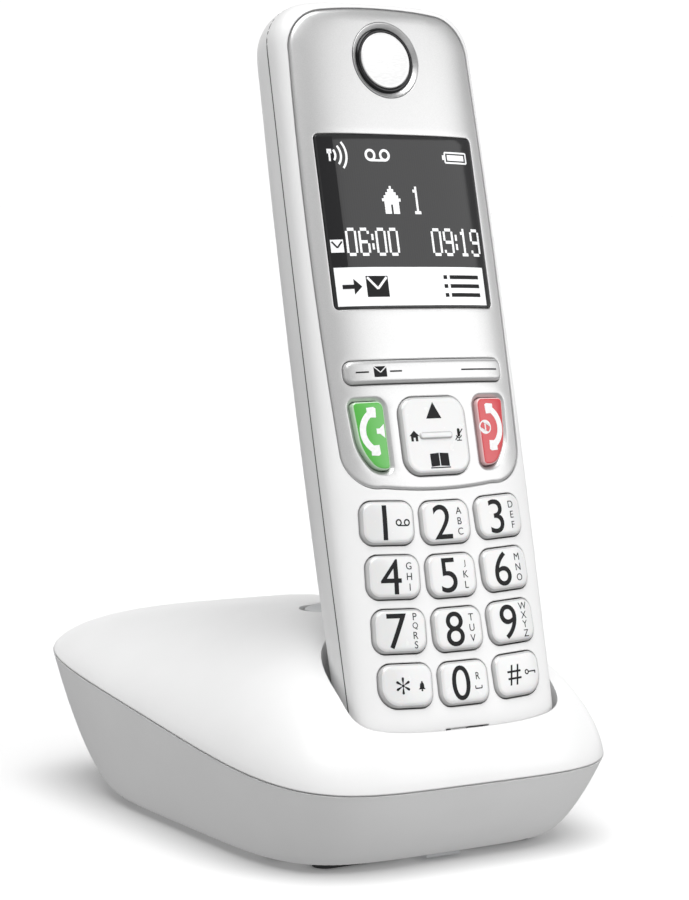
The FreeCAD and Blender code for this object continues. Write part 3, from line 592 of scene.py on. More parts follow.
# ---------------------------------------------------------------- finishes
class Finish:
    """A material's node tree, built up by short calls."""

    def __init__(self, name):
        self.material = bpy.data.materials.new(name)
        self.material.use_nodes = True
        self.tree = self.material.node_tree
        self.shader = self.tree.nodes["Principled BSDF"]
        self.place = self.tree.nodes.new("ShaderNodeTexCoord").outputs["Object"]

    def add(self, kind, links=None, **values):
        node = self.tree.nodes.new(kind)
        for key, value in values.items():
            if hasattr(node, key):
                setattr(node, key, value)
            else:
                node.inputs[key.replace("_", " ").title()].default_value = value
        for socket, source in (links or {}).items():
            self.tree.links.new(source, node.inputs[socket])
        return node

    def noise(self, scale, detail=3.0, stretch=None):
        place = self.place
        if stretch:
            place = self.add("ShaderNodeMapping", {"Vector": place}, scale=stretch).outputs["Vector"]
        return self.add("ShaderNodeTexNoise", {"Vector": place}, scale=scale, detail=detail).outputs["Fac"]

    def between(self, factor, low, high):
        node = self.tree.nodes.new("ShaderNodeMapRange")
        node.inputs["To Min"].default_value = low
        node.inputs["To Max"].default_value = high
        self.tree.links.new(factor, node.inputs["Value"])
        return node.outputs["Result"]

    def ramp(self, factor, stops):
        node = self.tree.nodes.new("ShaderNodeValToRGB")
        ramp = node.color_ramp
        while len(ramp.elements) < len(stops):
            ramp.elements.new(0.5)
        for element, (place, shade) in zip(ramp.elements, stops):
            element.position = place
            element.color = (*shade, 1.0)
        self.tree.links.new(factor, node.inputs["Fac"])
        return node.outputs["Color"]

    def colour(self, base, spread=0.03, scale=60.0, stretch=None):
        """Base colour that wanders a little, as moulded or painted surfaces do."""
        low = [c * (1 - spread) for c in base]
        high = [min(1.0, c * (1 + spread)) for c in base]
        self.connect("Base Color", self.ramp(self.noise(scale, 4.0, stretch), [(0.3, low), (0.7, high)]))

    def connect(self, socket, source):
        self.tree.links.new(source, self.shader.inputs[socket])

    def roughness(self, low, high, scale=400.0, stretch=None):
        self.connect("Roughness", self.between(self.noise(scale, 3.0, stretch), low, high))

    def relief(self, scale, height, edge=0.0, stretch=None, strength=1.0):
        """Fine grain, with the real edges softened by a small radius."""
        links = {"Height": self.noise(scale, 2.0, stretch)}
        if edge:
            soft = self.tree.nodes.new("ShaderNodeBevel")
            soft.samples = 4
            soft.inputs["Radius"].default_value = edge
            links["Normal"] = soft.outputs["Normal"]
        bump = self.tree.nodes.new("ShaderNodeBump")
        bump.inputs["Strength"].default_value = strength
        bump.inputs["Distance"].default_value = height
        for socket, source in links.items():
            self.tree.links.new(source, bump.inputs[socket])
        self.connect("Normal", bump.outputs["Normal"])

    def set(self, **values):
        for socket, value in values.items():
            self.shader.inputs[socket.replace("_", " ")].default_value = value
        return self.material


def moulded(name, base, rough=(0.30, 0.38), grain=2600.0, height=0.006 * MM, edge=0.35 * MM, **values):
    """Injection-moulded plastic with a fine eroded grain."""
    made = Finish(name)
    made.colour(base, 0.02, 45.0)
    made.roughness(*rough)
    made.relief(grain, height, edge)
    return made.set(**values)


def white_shell():
    return moulded("satin white plastic", colours().shell, (0.32, 0.40), Coat_Weight=0.12, Coat_Roughness=0.3)


def silver_paint(name="silver paint"):
    """Fine metal flake under a satin lacquer."""
    made = Finish(name)
    made.colour(colours().silver, 0.05, 5200.0)
    made.roughness(0.34, 0.44, 3800.0)
    made.relief(5200.0, 0.004 * MM, 0.2 * MM)
    return made.set(Metallic=0.85, Coat_Weight=0.1, Coat_Roughness=0.3)


def key_face():
    return moulded("pale key face", colours().key, (0.22, 0.30), 1800.0, 0.004 * MM, 0.15 * MM,
                   Coat_Weight=0.5, Coat_Roughness=0.12, Subsurface_Weight=0.08, Subsurface_Scale=0.001)


def key_rim():
    return moulded("clear key rim", colours().rim, (0.10, 0.18), 900.0, 0.003 * MM, 0.15 * MM,
                   Coat_Weight=0.8, Coat_Roughness=0.06)


def gloss_key(name, base):
    return moulded(name, base, (0.2, 0.28), 1500.0, 0.003 * MM, 0.15 * MM,
                   Coat_Weight=0.2, Coat_Roughness=0.15)


def printed(name, base, rough=(0.42, 0.55)):
    """Screen-printed ink with a slight tooth."""
    made = Finish(name)
    made.colour(base, 0.06, 1500.0)
    made.roughness(*rough, 2500.0)
    made.relief(6000.0, 0.002 * MM)
    return made.set(Specular_IOR_Level=0.15)


def display_glass():
    """Dark liquid crystal under a clear window, with the faint grid of its dots."""
    made = Finish("display glass")
    grid = made.add("ShaderNodeTexWave", {"Vector": made.place}, wave_type="BANDS",
                    bands_direction="X", scale=560.0)
    low = [c * 0.93 for c in colours().glass]
    made.connect("Base Color", made.ramp(grid.outputs["Fac"], [(0.2, low), (0.8, list(colours().glass))]))
    made.roughness(0.08, 0.14, 90.0)
    made.relief(40.0, 0.004 * MM)
    return made.set(Specular_IOR_Level=0.25)


def lit_dots():
    made = Finish("lit dots")
    made.colour(colours().lit, 0.03, 900.0)
    made.roughness(0.15, 0.22, 300.0)
    made.relief(900.0, 0.001 * MM)
    return made.set(Coat_Weight=0.6, Coat_Roughness=0.05, Emission_Color=(1, 1, 1, 1), Emission_Strength=0.12)


def metal(name, base, rough, stretch, height=0.003 * MM, metallic=1.0, edge=0.12 * MM):
    """Metal with fine lines drawn one way."""
    made = Finish(name)
    made.colour(base, 0.07, 900.0, stretch)
    made.roughness(*rough, 1400.0, stretch)
    made.relief(1800.0, height, edge, stretch)
    return made.set(Metallic=metallic)


def rubber(name, base, edge=0.2 * MM):
    made = Finish(name)
    made.colour(base, 0.08, 300.0)
    made.roughness(0.68, 0.82, 900.0)
    made.relief(2200.0, 0.02 * MM, edge)
    return made.set(Specular_IOR_Level=0.3)


def board_mask():
    """Green solder mask over copper tracks."""
    made = Finish("solder mask")
    tracks = made.add("ShaderNodeTexBrick", {"Vector": made.place}, scale=160.0)
    tracks.inputs["Mortar Size"].default_value = 0.06
    shade = made.ramp(tracks.outputs["Fac"], [(0.3, (0.012, 0.13, 0.035)), (0.7, (0.035, 0.26, 0.08))])
    made.connect("Base Color", shade)
    made.roughness(0.2, 0.34, 500.0)
    made.relief(160.0, 0.02 * MM)
    return made.set(Coat_Weight=0.5)


def cell_sleeve():
    """Plain shrink sleeve with a pale band."""
    made = Finish("cell sleeve")
    rings = made.add("ShaderNodeTexWave", {"Vector": made.place}, wave_type="BANDS",
                    bands_direction="Z", scale=6.0)
    shade = made.ramp(rings.outputs["Fac"], [(0.45, (0.07, 0.08, 0.1)), (0.6, (0.5, 0.52, 0.55))])
    made.connect("Base Color", shade)
    made.roughness(0.25, 0.36, 700.0)
    made.relief(700.0, 0.01 * MM)
    return made.set(Metallic=0.4, Coat_Weight=0.4)


def clear_window():
    made = Finish("clear acrylic")
    made.colour((0.9, 0.92, 0.93), 0.02)
    made.roughness(0.03, 0.07, 200.0)
    made.relief(30.0, 0.002 * MM)
    return made.set(Transmission_Weight=0.9, IOR=1.49)


def slot_finishes():
    """One finish for each material slot of the record."""
    return {
        "white_shell": white_shell(),
        "light_grey_plastic": moulded("light grey plastic", (0.5, 0.51, 0.52)),
        "silver_plate": silver_paint(),
        "key_silver": key_face(),
        "green_key": gloss_key("green plastic", colours().green),
        "red_key": gloss_key("red plastic", colours().red),
        "clear_window": clear_window(),
        "display_dark": display_glass(),
        "display_white": moulded("light guide", (0.8, 0.8, 0.78), (0.25, 0.35)),
        "bezel_metal": metal("turned bevel", (0.5, 0.5, 0.5), (0.28, 0.38), (1.0, 1.0, 6.0)),
        "ring_metal": metal("dark chrome", (0.035, 0.035, 0.036), (0.14, 0.22), (1.0, 1.0, 4.0)),
        "cap_metal": metal("satin disc", (0.8, 0.8, 0.8), (0.34, 0.44), (1.0, 1.0, 5.0), metallic=0.25),
        "black_plastic": moulded("black plastic", (0.02, 0.02, 0.021), (0.38, 0.5)),
        # Black rubber of the base's foot strips. They are real feet, and their black also stands as painted shadow
        # in the gap under the base's front edge.
        "rubber": rubber("black rubber", (0.025, 0.025, 0.026)),
        "mat_rubber": rubber("pale silicone", (0.6, 0.6, 0.57)),
        "board_green": board_mask(),
        "tin": metal("tin plate", (0.6, 0.6, 0.6), (0.28, 0.42), (1.0, 12.0, 1.0)),
        "steel": metal("zinc plate", (0.5, 0.5, 0.51), (0.25, 0.38), (1.0, 1.0, 3.0)),
        "contact_brass": metal("gold plate", (0.83, 0.6, 0.22), (0.16, 0.28), (1.0, 1.0, 3.0)),
        "cell_wrap": cell_sleeve(),
    }


def finish_of(name):
    """A material made by the first operator."""
    return bpy.data.materials[name]


# ---------------------------------------------------------------- pieces
def build_finishes():
    finishes = slot_finishes()
    key_rim()
    for name, base in (("pale green rim", colours().green), ("pale red rim", colours().red)):
        gloss_key(name, [0.45 + 0.5 * c for c in base])
    printed("black ink", colours().ink)
    printed("white ink", (0.85, 0.85, 0.85))
    lit_dots()
    moulded("key well", (0.055, 0.056, 0.058), (0.4, 0.5))
    for part in frame["record"]["subparts"]:
        node = frame["nodes"][part["node"]]
        node.data.materials.clear()
        node.data.materials.append(finishes[part["material_slot"]])


def build_seam_line():
    """Dark line where the two handset shells meet, laid just under their outline."""
    size = handset()
    node = frame["nodes"]["handset_back_shell"]
    tree = surface_of(node)
    depth = size.seam + 0.02 * MM
    low = 16.0 * MM
    high = size.long - low
    spine = [(0, low + (high - low) * i / 60) for i in range(61)]
    aims = [(z, 0.0) for _, z in spine]
    aims += [(high, math.pi * i / 48) for i in range(1, 48)]
    aims += [(z, math.pi) for _, z in reversed(spine)]
    aims += [(low, math.pi + math.pi * i / 48) for i in range(1, 48)]
    half = size.seam_line / 2
    build = bmesh.new()
    levels = []
    for z, turn in aims:
        out = Vector((math.cos(turn), 0.0, 0.0)) + UP * math.sin(turn)
        start = row(0.0, depth + 0.2 * MM, z) + out * 200 * MM
        hit = tree.ray_cast(start, -out)[0]
        if hit is None:
            raise RuntimeError("the seam line misses the back shell")
        edge = hit - INWARD * 0.2 * MM
        corners = ((0.035, -1), (0.035, 1), (-0.35, 1), (-0.35, -1))
        levels.append([build.verts.new(edge + out * (r * MM) + INWARD * (half * side))
                       for r, side in corners])
    for i, level in enumerate(levels):
        other = levels[(i + 1) % len(levels)]
        for k in range(4):
            j = (k + 1) % 4
            build.faces.new((level[k], level[j], other[j], other[k]))
    attach(finish_mesh("handset_seam_line", build, [finish_of("key well")]), "handset", "black_plastic")


def build_earpiece():
    """Turned bevel, dark ring and satin cap of the earpiece."""
    x, z = node_middle("earpiece_cap")
    depth = face_depth(0.0, z)

    def place(u, v, rise):
        return row(x + u, depth - rise, z + v)

    bevel = [(8.15, -0.9), (8.15, 0.0), (8.08, 0.05), (7.95, 0.03), (7.2, -0.46), (7.09, -0.50), (7.09, -0.9)]
    hoop_profile = [(7.04, -0.9), (7.04, -0.50), (6.98, -0.36), (6.8, -0.20), (6.5, -0.10), (6.25, -0.12),
                    (6.08, -0.22), (6.05, -0.9)]
    disc = [(6.0, -0.9), (6.0, -0.12), (5.94, -0.02), (5.8, 0.05), (5.4, 0.02), (4.6, -0.05), (3.4, -0.11),
            (2.0, -0.15), (0.7, -0.16)]
    piece = lathe_band("earpiece_bevel", metres(bevel), place, [finish_of("turned bevel")])
    attach(piece, "handset", "bezel_metal", "earpiece_bezel")
    piece = lathe_band("earpiece_hoop", metres(hoop_profile), place, [finish_of("dark chrome")])
    attach(piece, "handset", "ring_metal", "earpiece_ring")
    piece = ring_solid("earpiece_disc", lathe_rings(metres(disc)), place, [finish_of("satin disc")])
    attach(piece, "handset", "cap_metal", "earpiece_cap")


def build_display():
    """Window with its dark ground, lit icons, digits and the white bar."""
    size = display()
    x, z = node_middle("display_window")
    corners = box_corners(size.wide, size.high)
    outline = lambda inset: rounded_outline(corners, [0.8 * MM] * 4, inset, 5, size.steps)
    profile = [(0.0, -1.0 * MM), (0.0, -0.14 * MM), (0.08 * MM, -0.04 * MM), (0.25 * MM, 0.0)]
    shares = [1 - i / 16 for i in range(1, 16)]
    rings = cap_rings(outline, profile, 0.0, shares)
    lens = ring_solid("display_lens", rings, face_place(x, z), [finish_of("display glass")])
    attach(lens, "handset", "display_dark", "display_window")
    tree = surface_of(lens)
    half_x = size.wide / MM / 2 - 0.45
    half_z = size.high / MM / 2 - 0.45
    bar_top = -half_z + size.bar_high / MM
    # A flat black sheet down the left side of the window, darker than the display's ground, with icons laid over
    # it.
    band = [grid_panel(-half_x, bar_top + 0.2, -half_x + 3.5, half_z, 5)]
    piece = inlay("display_band", band, [], tree, x, z, 0.0, finish_of("black ink"))
    attach(piece, "handset", "black_plastic")
    white_bar = [grid_panel(-half_x + 0.2, -half_z, half_x - 0.7, bar_top, size.steps)]
    piece = inlay("display_bar", white_bar, [], tree, x, z, 0.0, finish_of("lit dots"))
    attach(piece, "handset", "display_white")
    marks = shifted(signal(), -13.9, 13.9, 0.86) + shifted(tape(), -5.2, 14.0, 1.55)
    marks += shifted(battery(), 15.0, 13.9, 1.0)
    marks += dot_text("06:00", -15.3, -7.4) + dot_text("09:19", 5.8, -7.4)
    marks += dot_text("home", -5.4, 1.5) + dot_text("1", 2.0, 1.5)
    marks += [box_mark(-18.9, -6.6, -16.0, -3.9)]
    piece = inlay("display_marks", [], marks, tree, x, z, 0.0, finish_of("lit dots"), 0.03 * MM)
    attach(piece, "handset", "display_white")
    level = (bar_top - half_z) / 2
    marks = shifted(arrow(), -15.0, level, 1.25) + [box_mark(-11.8, level - 2.2, -6.5, level + 2.2)]
    marks += shifted(menu_lines(), 12.2, level)
    marks += [bar(-18.6, -4.3, -17.45, -5.6, 0.35), bar(-16.3, -4.3, -17.45, -5.6, 0.35)]
    piece = inlay("display_bar_marks", [], marks, tree, x, z, 0.0, finish_of("black ink"), 0.06 * MM)
    attach(piece, "handset", "black_plastic")
    marks = [bar(-11.5, level + 1.9, -9.15, level - 0.5, 0.5),
             bar(-6.8, level + 1.9, -9.15, level - 0.5, 0.5)]
    piece = inlay("display_flap", [], marks, tree, x, z, 0.0, finish_of("lit dots"), 0.09 * MM)
    attach(piece, "handset", "display_white")


def plate_outline():
    """Outline of the plate: U-shaped foot, bowed sides and crowned top, each an arc through three points."""
    size = plate()
    half, low, high = size.half / MM, size.low / MM, size.high / MM
    foot = (13.5, low + 0.9)
    side_low = (half - 0.9, low + 8.5)
    side_high = (half - 0.7, high - 10.0)
    head = (14.0, high - 0.8)
    mirror = lambda p: (-p[0], p[1])
    arcs = ((mirror(foot), (0.0, low), foot, 20), (foot, (half - 3.3, low + 3.0), side_low, 20),
            (side_low, (half, (low + high) / 2), side_high, 60),
            (side_high, (half - 3.0, high - 3.6), head, 20), (head, (0.0, high), mirror(head), 20),
            (mirror(head), (3.0 - half, high - 3.6), mirror(side_high), 20),
            (mirror(side_high), (-half, (low + high) / 2), mirror(side_low), 60),
            (mirror(side_low), (3.3 - half, low + 3.0), mirror(foot), 20))
    points = []
    for start, through, stop, steps in arcs:
        points += arc_through(Vector(start), Vector(through), Vector(stop), steps)
    return points


def arc_through(start, through, stop, steps):
    """Points from start towards stop on the circle through all three, without stop itself."""
    a = through - start
    b = stop - start
    cross = 2 * (a.x * b.y - a.y * b.x)
    centre = start + Vector((b.y * a.dot(a) - a.y * b.dot(b), a.x * b.dot(b) - b.x * a.dot(a))) / cross
    first = start - centre
    last = stop - centre
    turn = math.atan2(first.x * last.y - first.y * last.x, first.dot(last))
    return [centre + Matrix.Rotation(turn * i / steps, 2) @ first for i in range(steps)]


def moved_in(points, amount):
    """A closed anticlockwise outline moved towards its inside."""
    count = len(points)
    moved = []
    for i in range(count):
        along = (points[(i + 1) % count] - points[i - 1]).normalized()
        moved.append(points[i] + Vector((-along.y, along.x)) * amount)
    return moved


def holds(outline, point):
    """Whether a closed outline holds a point."""
    inside = False
    for i, a in enumerate(outline):
        b = outline[i - 1]
        if (a.y > point.y) != (b.y > point.y):
            if point.x < (b.x - a.x) * (point.y - a.y) / (b.y - a.y) + a.x:
                inside = not inside
    return inside


def plate_holes():
    """Each hole of the plate as a function that gives its outline, enlarged by a distance, and its edge."""
    size = plate()
    soft = [(0.0, -0.95), (0.0, -0.22), (0.05, -0.08), (0.16, -0.02), (0.3, 0.0)]
    chamfer = [(0.0, -0.95), (0.0, -0.62), (0.12, -0.52), (0.62, -0.14), (0.76, -0.03), (0.95, 0.0)]
    holes = []
    for node, wide, high, corner, arc, edge in (
            ("display_window", display().wide, display().high, 0.9, 5, 24),
            ("softkey_bar", keys().bar_wide, keys().bar_high, 1.7, 8, 20),
            ("nav_key", keys().nav, keys().nav, 3.8, 10, 8)):
        x, z = node_middle(node)
        corners = [(x / MM + u / MM, z / MM + v / MM) for u, v in box_corners(wide, high)]
        holes.append((lambda grow, c=corners, r=corner, a=arc, e=edge:
                      rounded_outline(c, [r] * 4, -grow - size.gap / MM, a, e, 0.12), soft))
    for side in (-1, 1):
        corners, radii = call_key_corners(side)
        corners = [(u / MM + side * CALL_KEY_X, v / MM + CALL_KEY_Z) for u, v in corners]
        radii = [r / MM for r in radii]
        holes.append((lambda grow, c=corners, r=radii:
                      rounded_outline(c, r, 0.35 - grow, 9, 6, 0.12), chamfer))
    x, z = node_middle("earpiece_cap")
    holes.append((lambda grow: [Vector((x / MM + (8.2 + grow) * math.cos(2 * math.pi * i / 96),
                                        z / MM + (8.2 + grow) * math.sin(2 * math.pi * i / 96)))
                                for i in range(96)], soft[:2] + [(0.03, -0.06), (0.1, 0.0)]))
    return holes


def build_plate():
    """Silver front plate with a rolled outer edge and a broken edge round every hole."""
    rolled = [(0.0, -0.95), (0.0, -0.45), (0.08, -0.22), (0.28, -0.07), (0.6, -0.01), (0.85, 0.0)]
    outer = plate_outline()
    loops = [(lambda grow: moved_in(outer, grow), rolled)] + plate_holes()
    points = []
    edges = []
    starts = []
    for ring, profile in loops:
        inner = ring(profile[-1][0])
        starts.append(len(points))
        count = len(inner)
        edges += [(len(points) + i, len(points) + (i + 1) % count) for i in range(count)]
        points += inner
    clear = [ring(profile[-1][0] + 0.5) for ring, profile in loops]
    pitch = 1.25
    across = int(plate().half / MM / pitch) + 1
    for i in range(-across, across + 1):
        for k in range(int(plate().high / MM / pitch) + 2):
            spot = Vector((i * pitch, k * pitch))
            if holds(clear[0], spot) and not any(holds(hole, spot) for hole in clear[1:]):
                points.append(spot)
    spots, _, triangles, origin, _, _ = delaunay_2d_cdt(points, edges, [], 0, 1e-6)
    made_of = {source: i for i, sources in enumerate(origin) for source in sources}
    rims = [ring(profile[-1][0]) for ring, profile in loops]
    kept = []
    for triangle in triangles:
        middle = sum((spots[i] for i in triangle), Vector((0, 0))) / 3
        if holds(rims[0], middle) and not any(holds(rim, middle) for rim in rims[1:]):
            kept.append(triangle)
    used = sorted({i for triangle in kept for i in triangle})
    thick = loops[0][1][0][1]
    lay = lambda spot, rise: row(spot.x * MM, face_depth(spot.x * MM, spot.y * MM) - rise * MM, spot.y * MM)
    build = bmesh.new()
    front = {i: build.verts.new(lay(spots[i], 0.0)) for i in used}
    back = {}
    for number, (ring, profile) in enumerate(loops):
        count = len(rims[number])
        rows = [[build.verts.new(lay(p, rise)) for p in ring(inset)] for inset, rise in profile[:-1]]
        top = [front[made_of[starts[number] + i]] for i in range(count)]
        for i in range(count):
            back[made_of[starts[number] + i]] = rows[0][i]
        rows.append(top)
        for lower, upper in zip(rows, rows[1:]):
            for i in range(count):
                j = (i + 1) % count
                build.faces.new((lower[i], lower[j], upper[j], upper[i]))
    for i in used:
        if i not in back:
            back[i] = build.verts.new(lay(spots[i], thick))
    for triangle in kept:
        build.faces.new([front[i] for i in triangle])
        build.faces.new([back[i] for i in reversed(triangle)])
    attach(finish_mesh("front_plate_skin", build, [finish_of("silver paint")]), "handset", "silver_plate",
           "front_plate")


def build_softkey():
    size = keys()
    x, z = node_middle("softkey_bar")
    corners = box_corners(size.bar_wide, size.bar_high)
    outline = lambda inset: rounded_outline(corners, [1.6 * MM] * 4, inset, 9, 22)
    profile = [(0.0, -3.4), (0.0, 0.25), (0.08, 0.42), (0.3, 0.62), (0.62, 0.74), (0.8, 0.76)]
    profile = metres(profile)
    rings = cap_rings(outline, profile, 0.05 * MM, [1 - i / 12 for i in range(1, 12)])
    materials = [finish_of("silver paint"), finish_of("clear key rim")]
    piece = ring_solid("softkey_cap", rings, face_place(x, z), materials, 3)
    attach(piece, "softkey_bar", "key_silver", "softkey_bar")
    marks = [bar(-17.3, 0, -14.3, 0, 0.32), bar(-9.3, 0, -6.4, 0, 0.32), bar(8.5, 0, 18.0, 0, 0.32)]
    marks += [box_mark(-13.1, -1.1, -10.1, 1.1)]
    tree = surface_of(piece)
    inked = inlay("softkey_print", [], marks, tree, x, z, 0.0, finish_of("black ink"))
    attach(inked, "softkey_bar", "black_plastic")
    flap = [bar(-13.1, 1.05, -11.6, -0.15, 0.2), bar(-10.1, 1.05, -11.6, -0.15, 0.2)]
    lines = inlay("softkey_flap", [], flap, tree, x, z, 0.0, finish_of("white ink"), 0.03 * MM)
    attach(lines, "softkey_bar", "display_white")


def build_navigation():
    size = keys()
    x, z = node_middle("nav_key")
    corners = box_corners(size.nav, size.nav)
    outline = lambda inset: rounded_outline(corners, [3.6 * MM] * 4, inset, 10, 8)
    profile = [(0.0, -2.6), (0.0, 0.25), (0.1, 0.5), (0.45, 0.78), (0.95, 0.9), (1.25, 0.86)]
    profile = metres(profile)
    rings = cap_rings(outline, profile, -0.12 * MM, [0.92, 0.8, 0.66, 0.5, 0.34, 0.18])
    materials = [finish_of("pale key face"), finish_of("clear key rim")]
    cap = ring_solid("nav_cap", rings, face_place(x, z), materials, 3)
    attach(cap, "nav_key", "key_silver", "nav_key")
    tree = surface_of(cap)
    marks = [[(-1.9, 3.5), (1.9, 3.5), (0, 6.9)]] + shifted(house(), -5.4, -0.1, 0.85)
    marks += shifted(muted_microphone(), 5.7, 0.0, 0.85) + shifted(book(), 0.2, -5.1, 0.95)
    attach(inlay("nav_print", [], marks, tree, x, z, 0.0, finish_of("black ink")), "nav_key", "black_plastic")
    strip_corners = box_corners(8.2 * MM, 1.5 * MM)
    strip_outline = lambda inset: rounded_outline(strip_corners, [0.72 * MM] * 4, inset, 6, 5)
    strip_profile = [(0.0, 0.6), (0.0, 0.86), (0.1, 1.0), (0.3, 1.08), (0.5, 1.1)]
    strip_profile = metres(strip_profile)
    strip_rings = cap_rings(strip_outline, strip_profile, 0.02 * MM, [0.6, 0.25])
    strip = ring_solid("nav_strip", strip_rings, face_place(x, z), materials, 3)
    attach(strip, "nav_key", "key_silver")


def call_key_corners(side):
    """Outline of the talk key, or of the end key on the other side, round its own middle."""
    corners = [(-4.25, 7.7), (4.25, 7.7), (4.25, -7.7), (0.05, -7.7), (-3.45, -3.1)]
    radii = [1.6, 2.2, 1.6, 4.2, 11.0]
    if side > 0:
        corners = [(-u, v) for u, v in reversed(corners)]
        radii.reverse()
    return [(u * MM, v * MM) for u, v in corners], [r * MM for r in radii]


def build_call_keys():
    """Talk and end keys in their bevelled recesses."""
    for body, side, slot, paint, edge in (("talk_key", -1, "green_key", "green plastic", "pale green rim"),
                                          ("end_key", 1, "red_key", "red plastic", "pale red rim")):
        x = side * CALL_KEY_X * MM
        z = CALL_KEY_Z * MM
        corners, radii = call_key_corners(side)
        outline = lambda inset, c=corners, r=radii: rounded_outline(c, r, inset, 9, 6)
        profile = [(0.6, -4.0), (0.6, -0.05), (0.66, 0.2), (0.9, 0.36), (1.15, 0.4)]
        profile = metres(profile)
        rings = cap_rings(outline, profile, 0.06 * MM, [0.86, 0.68, 0.5, 0.3, 0.12])
        cap = ring_solid(body + "_cap", rings, face_place(x, z), [finish_of(paint), finish_of(edge)], 3)
        attach(cap, body, slot, body)
        tree = surface_of(cap)
        if side < 0:
            marks = shifted(receiver(-1), -0.7, 0.9, 0.94) + shifted(loudspeaker(), 2.35, 0.9)
        else:
            marks = shifted(receiver(1), 0.7, 0.9, 0.94) + shifted(power_mark(), -2.1, 0.9, 0.85)
        piece = inlay(body + "_print", [], marks, tree, x, z, 0.0, finish_of("white ink"))
        attach(piece, body, "display_white")


def key_art(name):
    """Lettering sheets and icon outlines of one number key, in millimetres round its middle."""
    size = keys()
    high = size.digit / MM
    small = size.letter / MM
    face = {"key_star": "*", "key_hash": "#"}.get(name, name[-1])
    if name in ("key_star", "key_hash"):
        sheets = [text_marks(face, -1.2, 0.0, 5.4 if face == "*" else 4.2)]
    else:
        sheets = [text_marks(face, -1.05, 0.0, high)]
    letters = KEY_LETTERS.get(name, "")
    pitch = 2.15 if len(letters) < 4 else 1.9
    for i, letter in enumerate(letters):
        level = ((len(letters) - 1) / 2 - i) * pitch
        sheets.append(text_marks(letter, 3.2, level, small))
    marks = []
    if name == "key_1":
        marks = shifted(tape(), 3.1, 0.0, 0.85)
    if name == "key_star":
        marks = shifted(bell(), 3.2, -0.2, 0.85)
    if name == "key_hash":
        marks = shifted(lock_key(), 3.2, 0.2, 0.85)
    if name == "key_0":
        sheets.append(text_marks("R", 3.2, 1.1, small, 0.86))
        marks = shifted(space_mark(), 3.2, -1.0)
    return sheets, marks


def build_number_keys():
    """Twelve number keys with clear rims, crowned faces and printed legends."""
    size = keys()
    rim = size.rim
    materials = [finish_of("pale key face"), finish_of("clear key rim")]
    for index, name in enumerate(NUMBER_KEYS):
        x, z = node_middle(name)
        column = index % 3 - 1
        radii = [size.corner] * 4
        if name == "key_star":
            radii[0] = size.outer_corner
        if name == "key_hash":
            radii[1] = size.outer_corner
        corners = box_corners(size.wide, size.high)
        outline = lambda inset, r=radii, c=corners: rounded_outline(c, r, inset, 9, 7)
        profile = [(0.0, -4.0 * MM), (0.0, size.proud * 0.28), (rim * 0.12, size.proud * 0.5),
                   (rim * 0.5, size.proud * 0.82), (rim, size.proud * 0.97), (rim * 1.45, size.proud)]
        rings = cap_rings(outline, profile, 0.07 * MM, [0.86, 0.7, 0.52, 0.34, 0.16])
        turn = column * size.turn
        cap = ring_solid(name + "_cap", rings, face_place(x, z, turn), materials, 3)
        attach(cap, name, "key_silver", name)
        sheets, marks = key_art(name)
        piece = inlay(name + "_print", sheets, marks, surface_of(cap), x, z, turn, finish_of("black ink"))
        attach(piece, name, "black_plastic")


def build_paging_button():
    """Shallow dished disc that calls the handset, on its stem."""
    low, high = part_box("page_button")
    x = (low.x + high.x) / 2
    y = (low.y + high.y) / 2
    radius = (high.x - low.x) / 2
    stem = 3.0 * MM

    def place(u, v, rise):
        return Vector((x + u, y + v, high.z + rise))

    drop = 2.0 * MM
    profile = [(stem * 0.96, low.z - high.z), (stem, low.z - high.z + 0.2 * MM), (stem, -drop),
               (radius - 0.2 * MM, -drop), (radius, -drop + 0.2 * MM), (radius, -0.45 * MM),
               (radius - 0.12 * MM, -0.15 * MM), (radius - 0.45 * MM, -0.02 * MM),
               (radius * 0.92, -0.03 * MM), (radius * 0.8, -0.17 * MM), (radius * 0.6, -0.31 * MM),
               (radius * 0.4, -0.41 * MM),
               (radius * 0.2, -0.47 * MM), (radius * 0.05, -0.49 * MM)]
    piece = ring_solid("page_button_disc", lathe_rings(profile), place, [finish_of("light grey plastic")])
    attach(piece, "page_button", "light_grey_plastic", "page_button")


def aimed(place, target):
    """World matrix of a light or camera at place, looking at target."""
    look = (Vector(target) - Vector(place)).to_track_quat("-Z", "Y")
    return Matrix.Translation(place) @ look.to_matrix().to_4x4()


def soft_light(name, place, target, size, power):
    lamp = bpy.data.lights.new(name, "AREA")
    lamp.size = size
    lamp.energy = power
    holder = bpy.data.objects.new(name, lamp)
    bpy.context.scene.collection.objects.link(holder)
    holder.matrix_world = aimed(place, target)


def build_surround(sky, ground):
    """White band round the horizon, a dimmer sky above it and a dim ground below it."""
    world = bpy.data.worlds.new("studio surround")
    world.use_nodes = True
    tree = world.node_tree
    place = tree.nodes.new("ShaderNodeTexCoord")
    parts = tree.nodes.new("ShaderNodeSeparateXYZ")
    height = tree.nodes.new("ShaderNodeMapRange")
    height.inputs["From Min"].default_value = -1.0
    ramp = tree.nodes.new("ShaderNodeValToRGB")
    tree.links.new(place.outputs["Generated"], parts.inputs["Vector"])
    tree.links.new(parts.outputs["Z"], height.inputs["Value"])
    tree.links.new(height.outputs["Result"], ramp.inputs["Fac"])
    stops = ((0.490, ground), (0.496, 1.05), (0.585, 1.05), (0.65, sky))
    while len(ramp.color_ramp.elements) < len(stops):
        ramp.color_ramp.elements.new(0.5)
    for element, (level, strength) in zip(ramp.color_ramp.elements, stops):
        element.position = level
        element.color = (strength, strength, strength, 1.0)
    tree.links.new(ramp.outputs["Color"], tree.nodes["Background"].inputs["Color"])
    bpy.context.scene.world = world


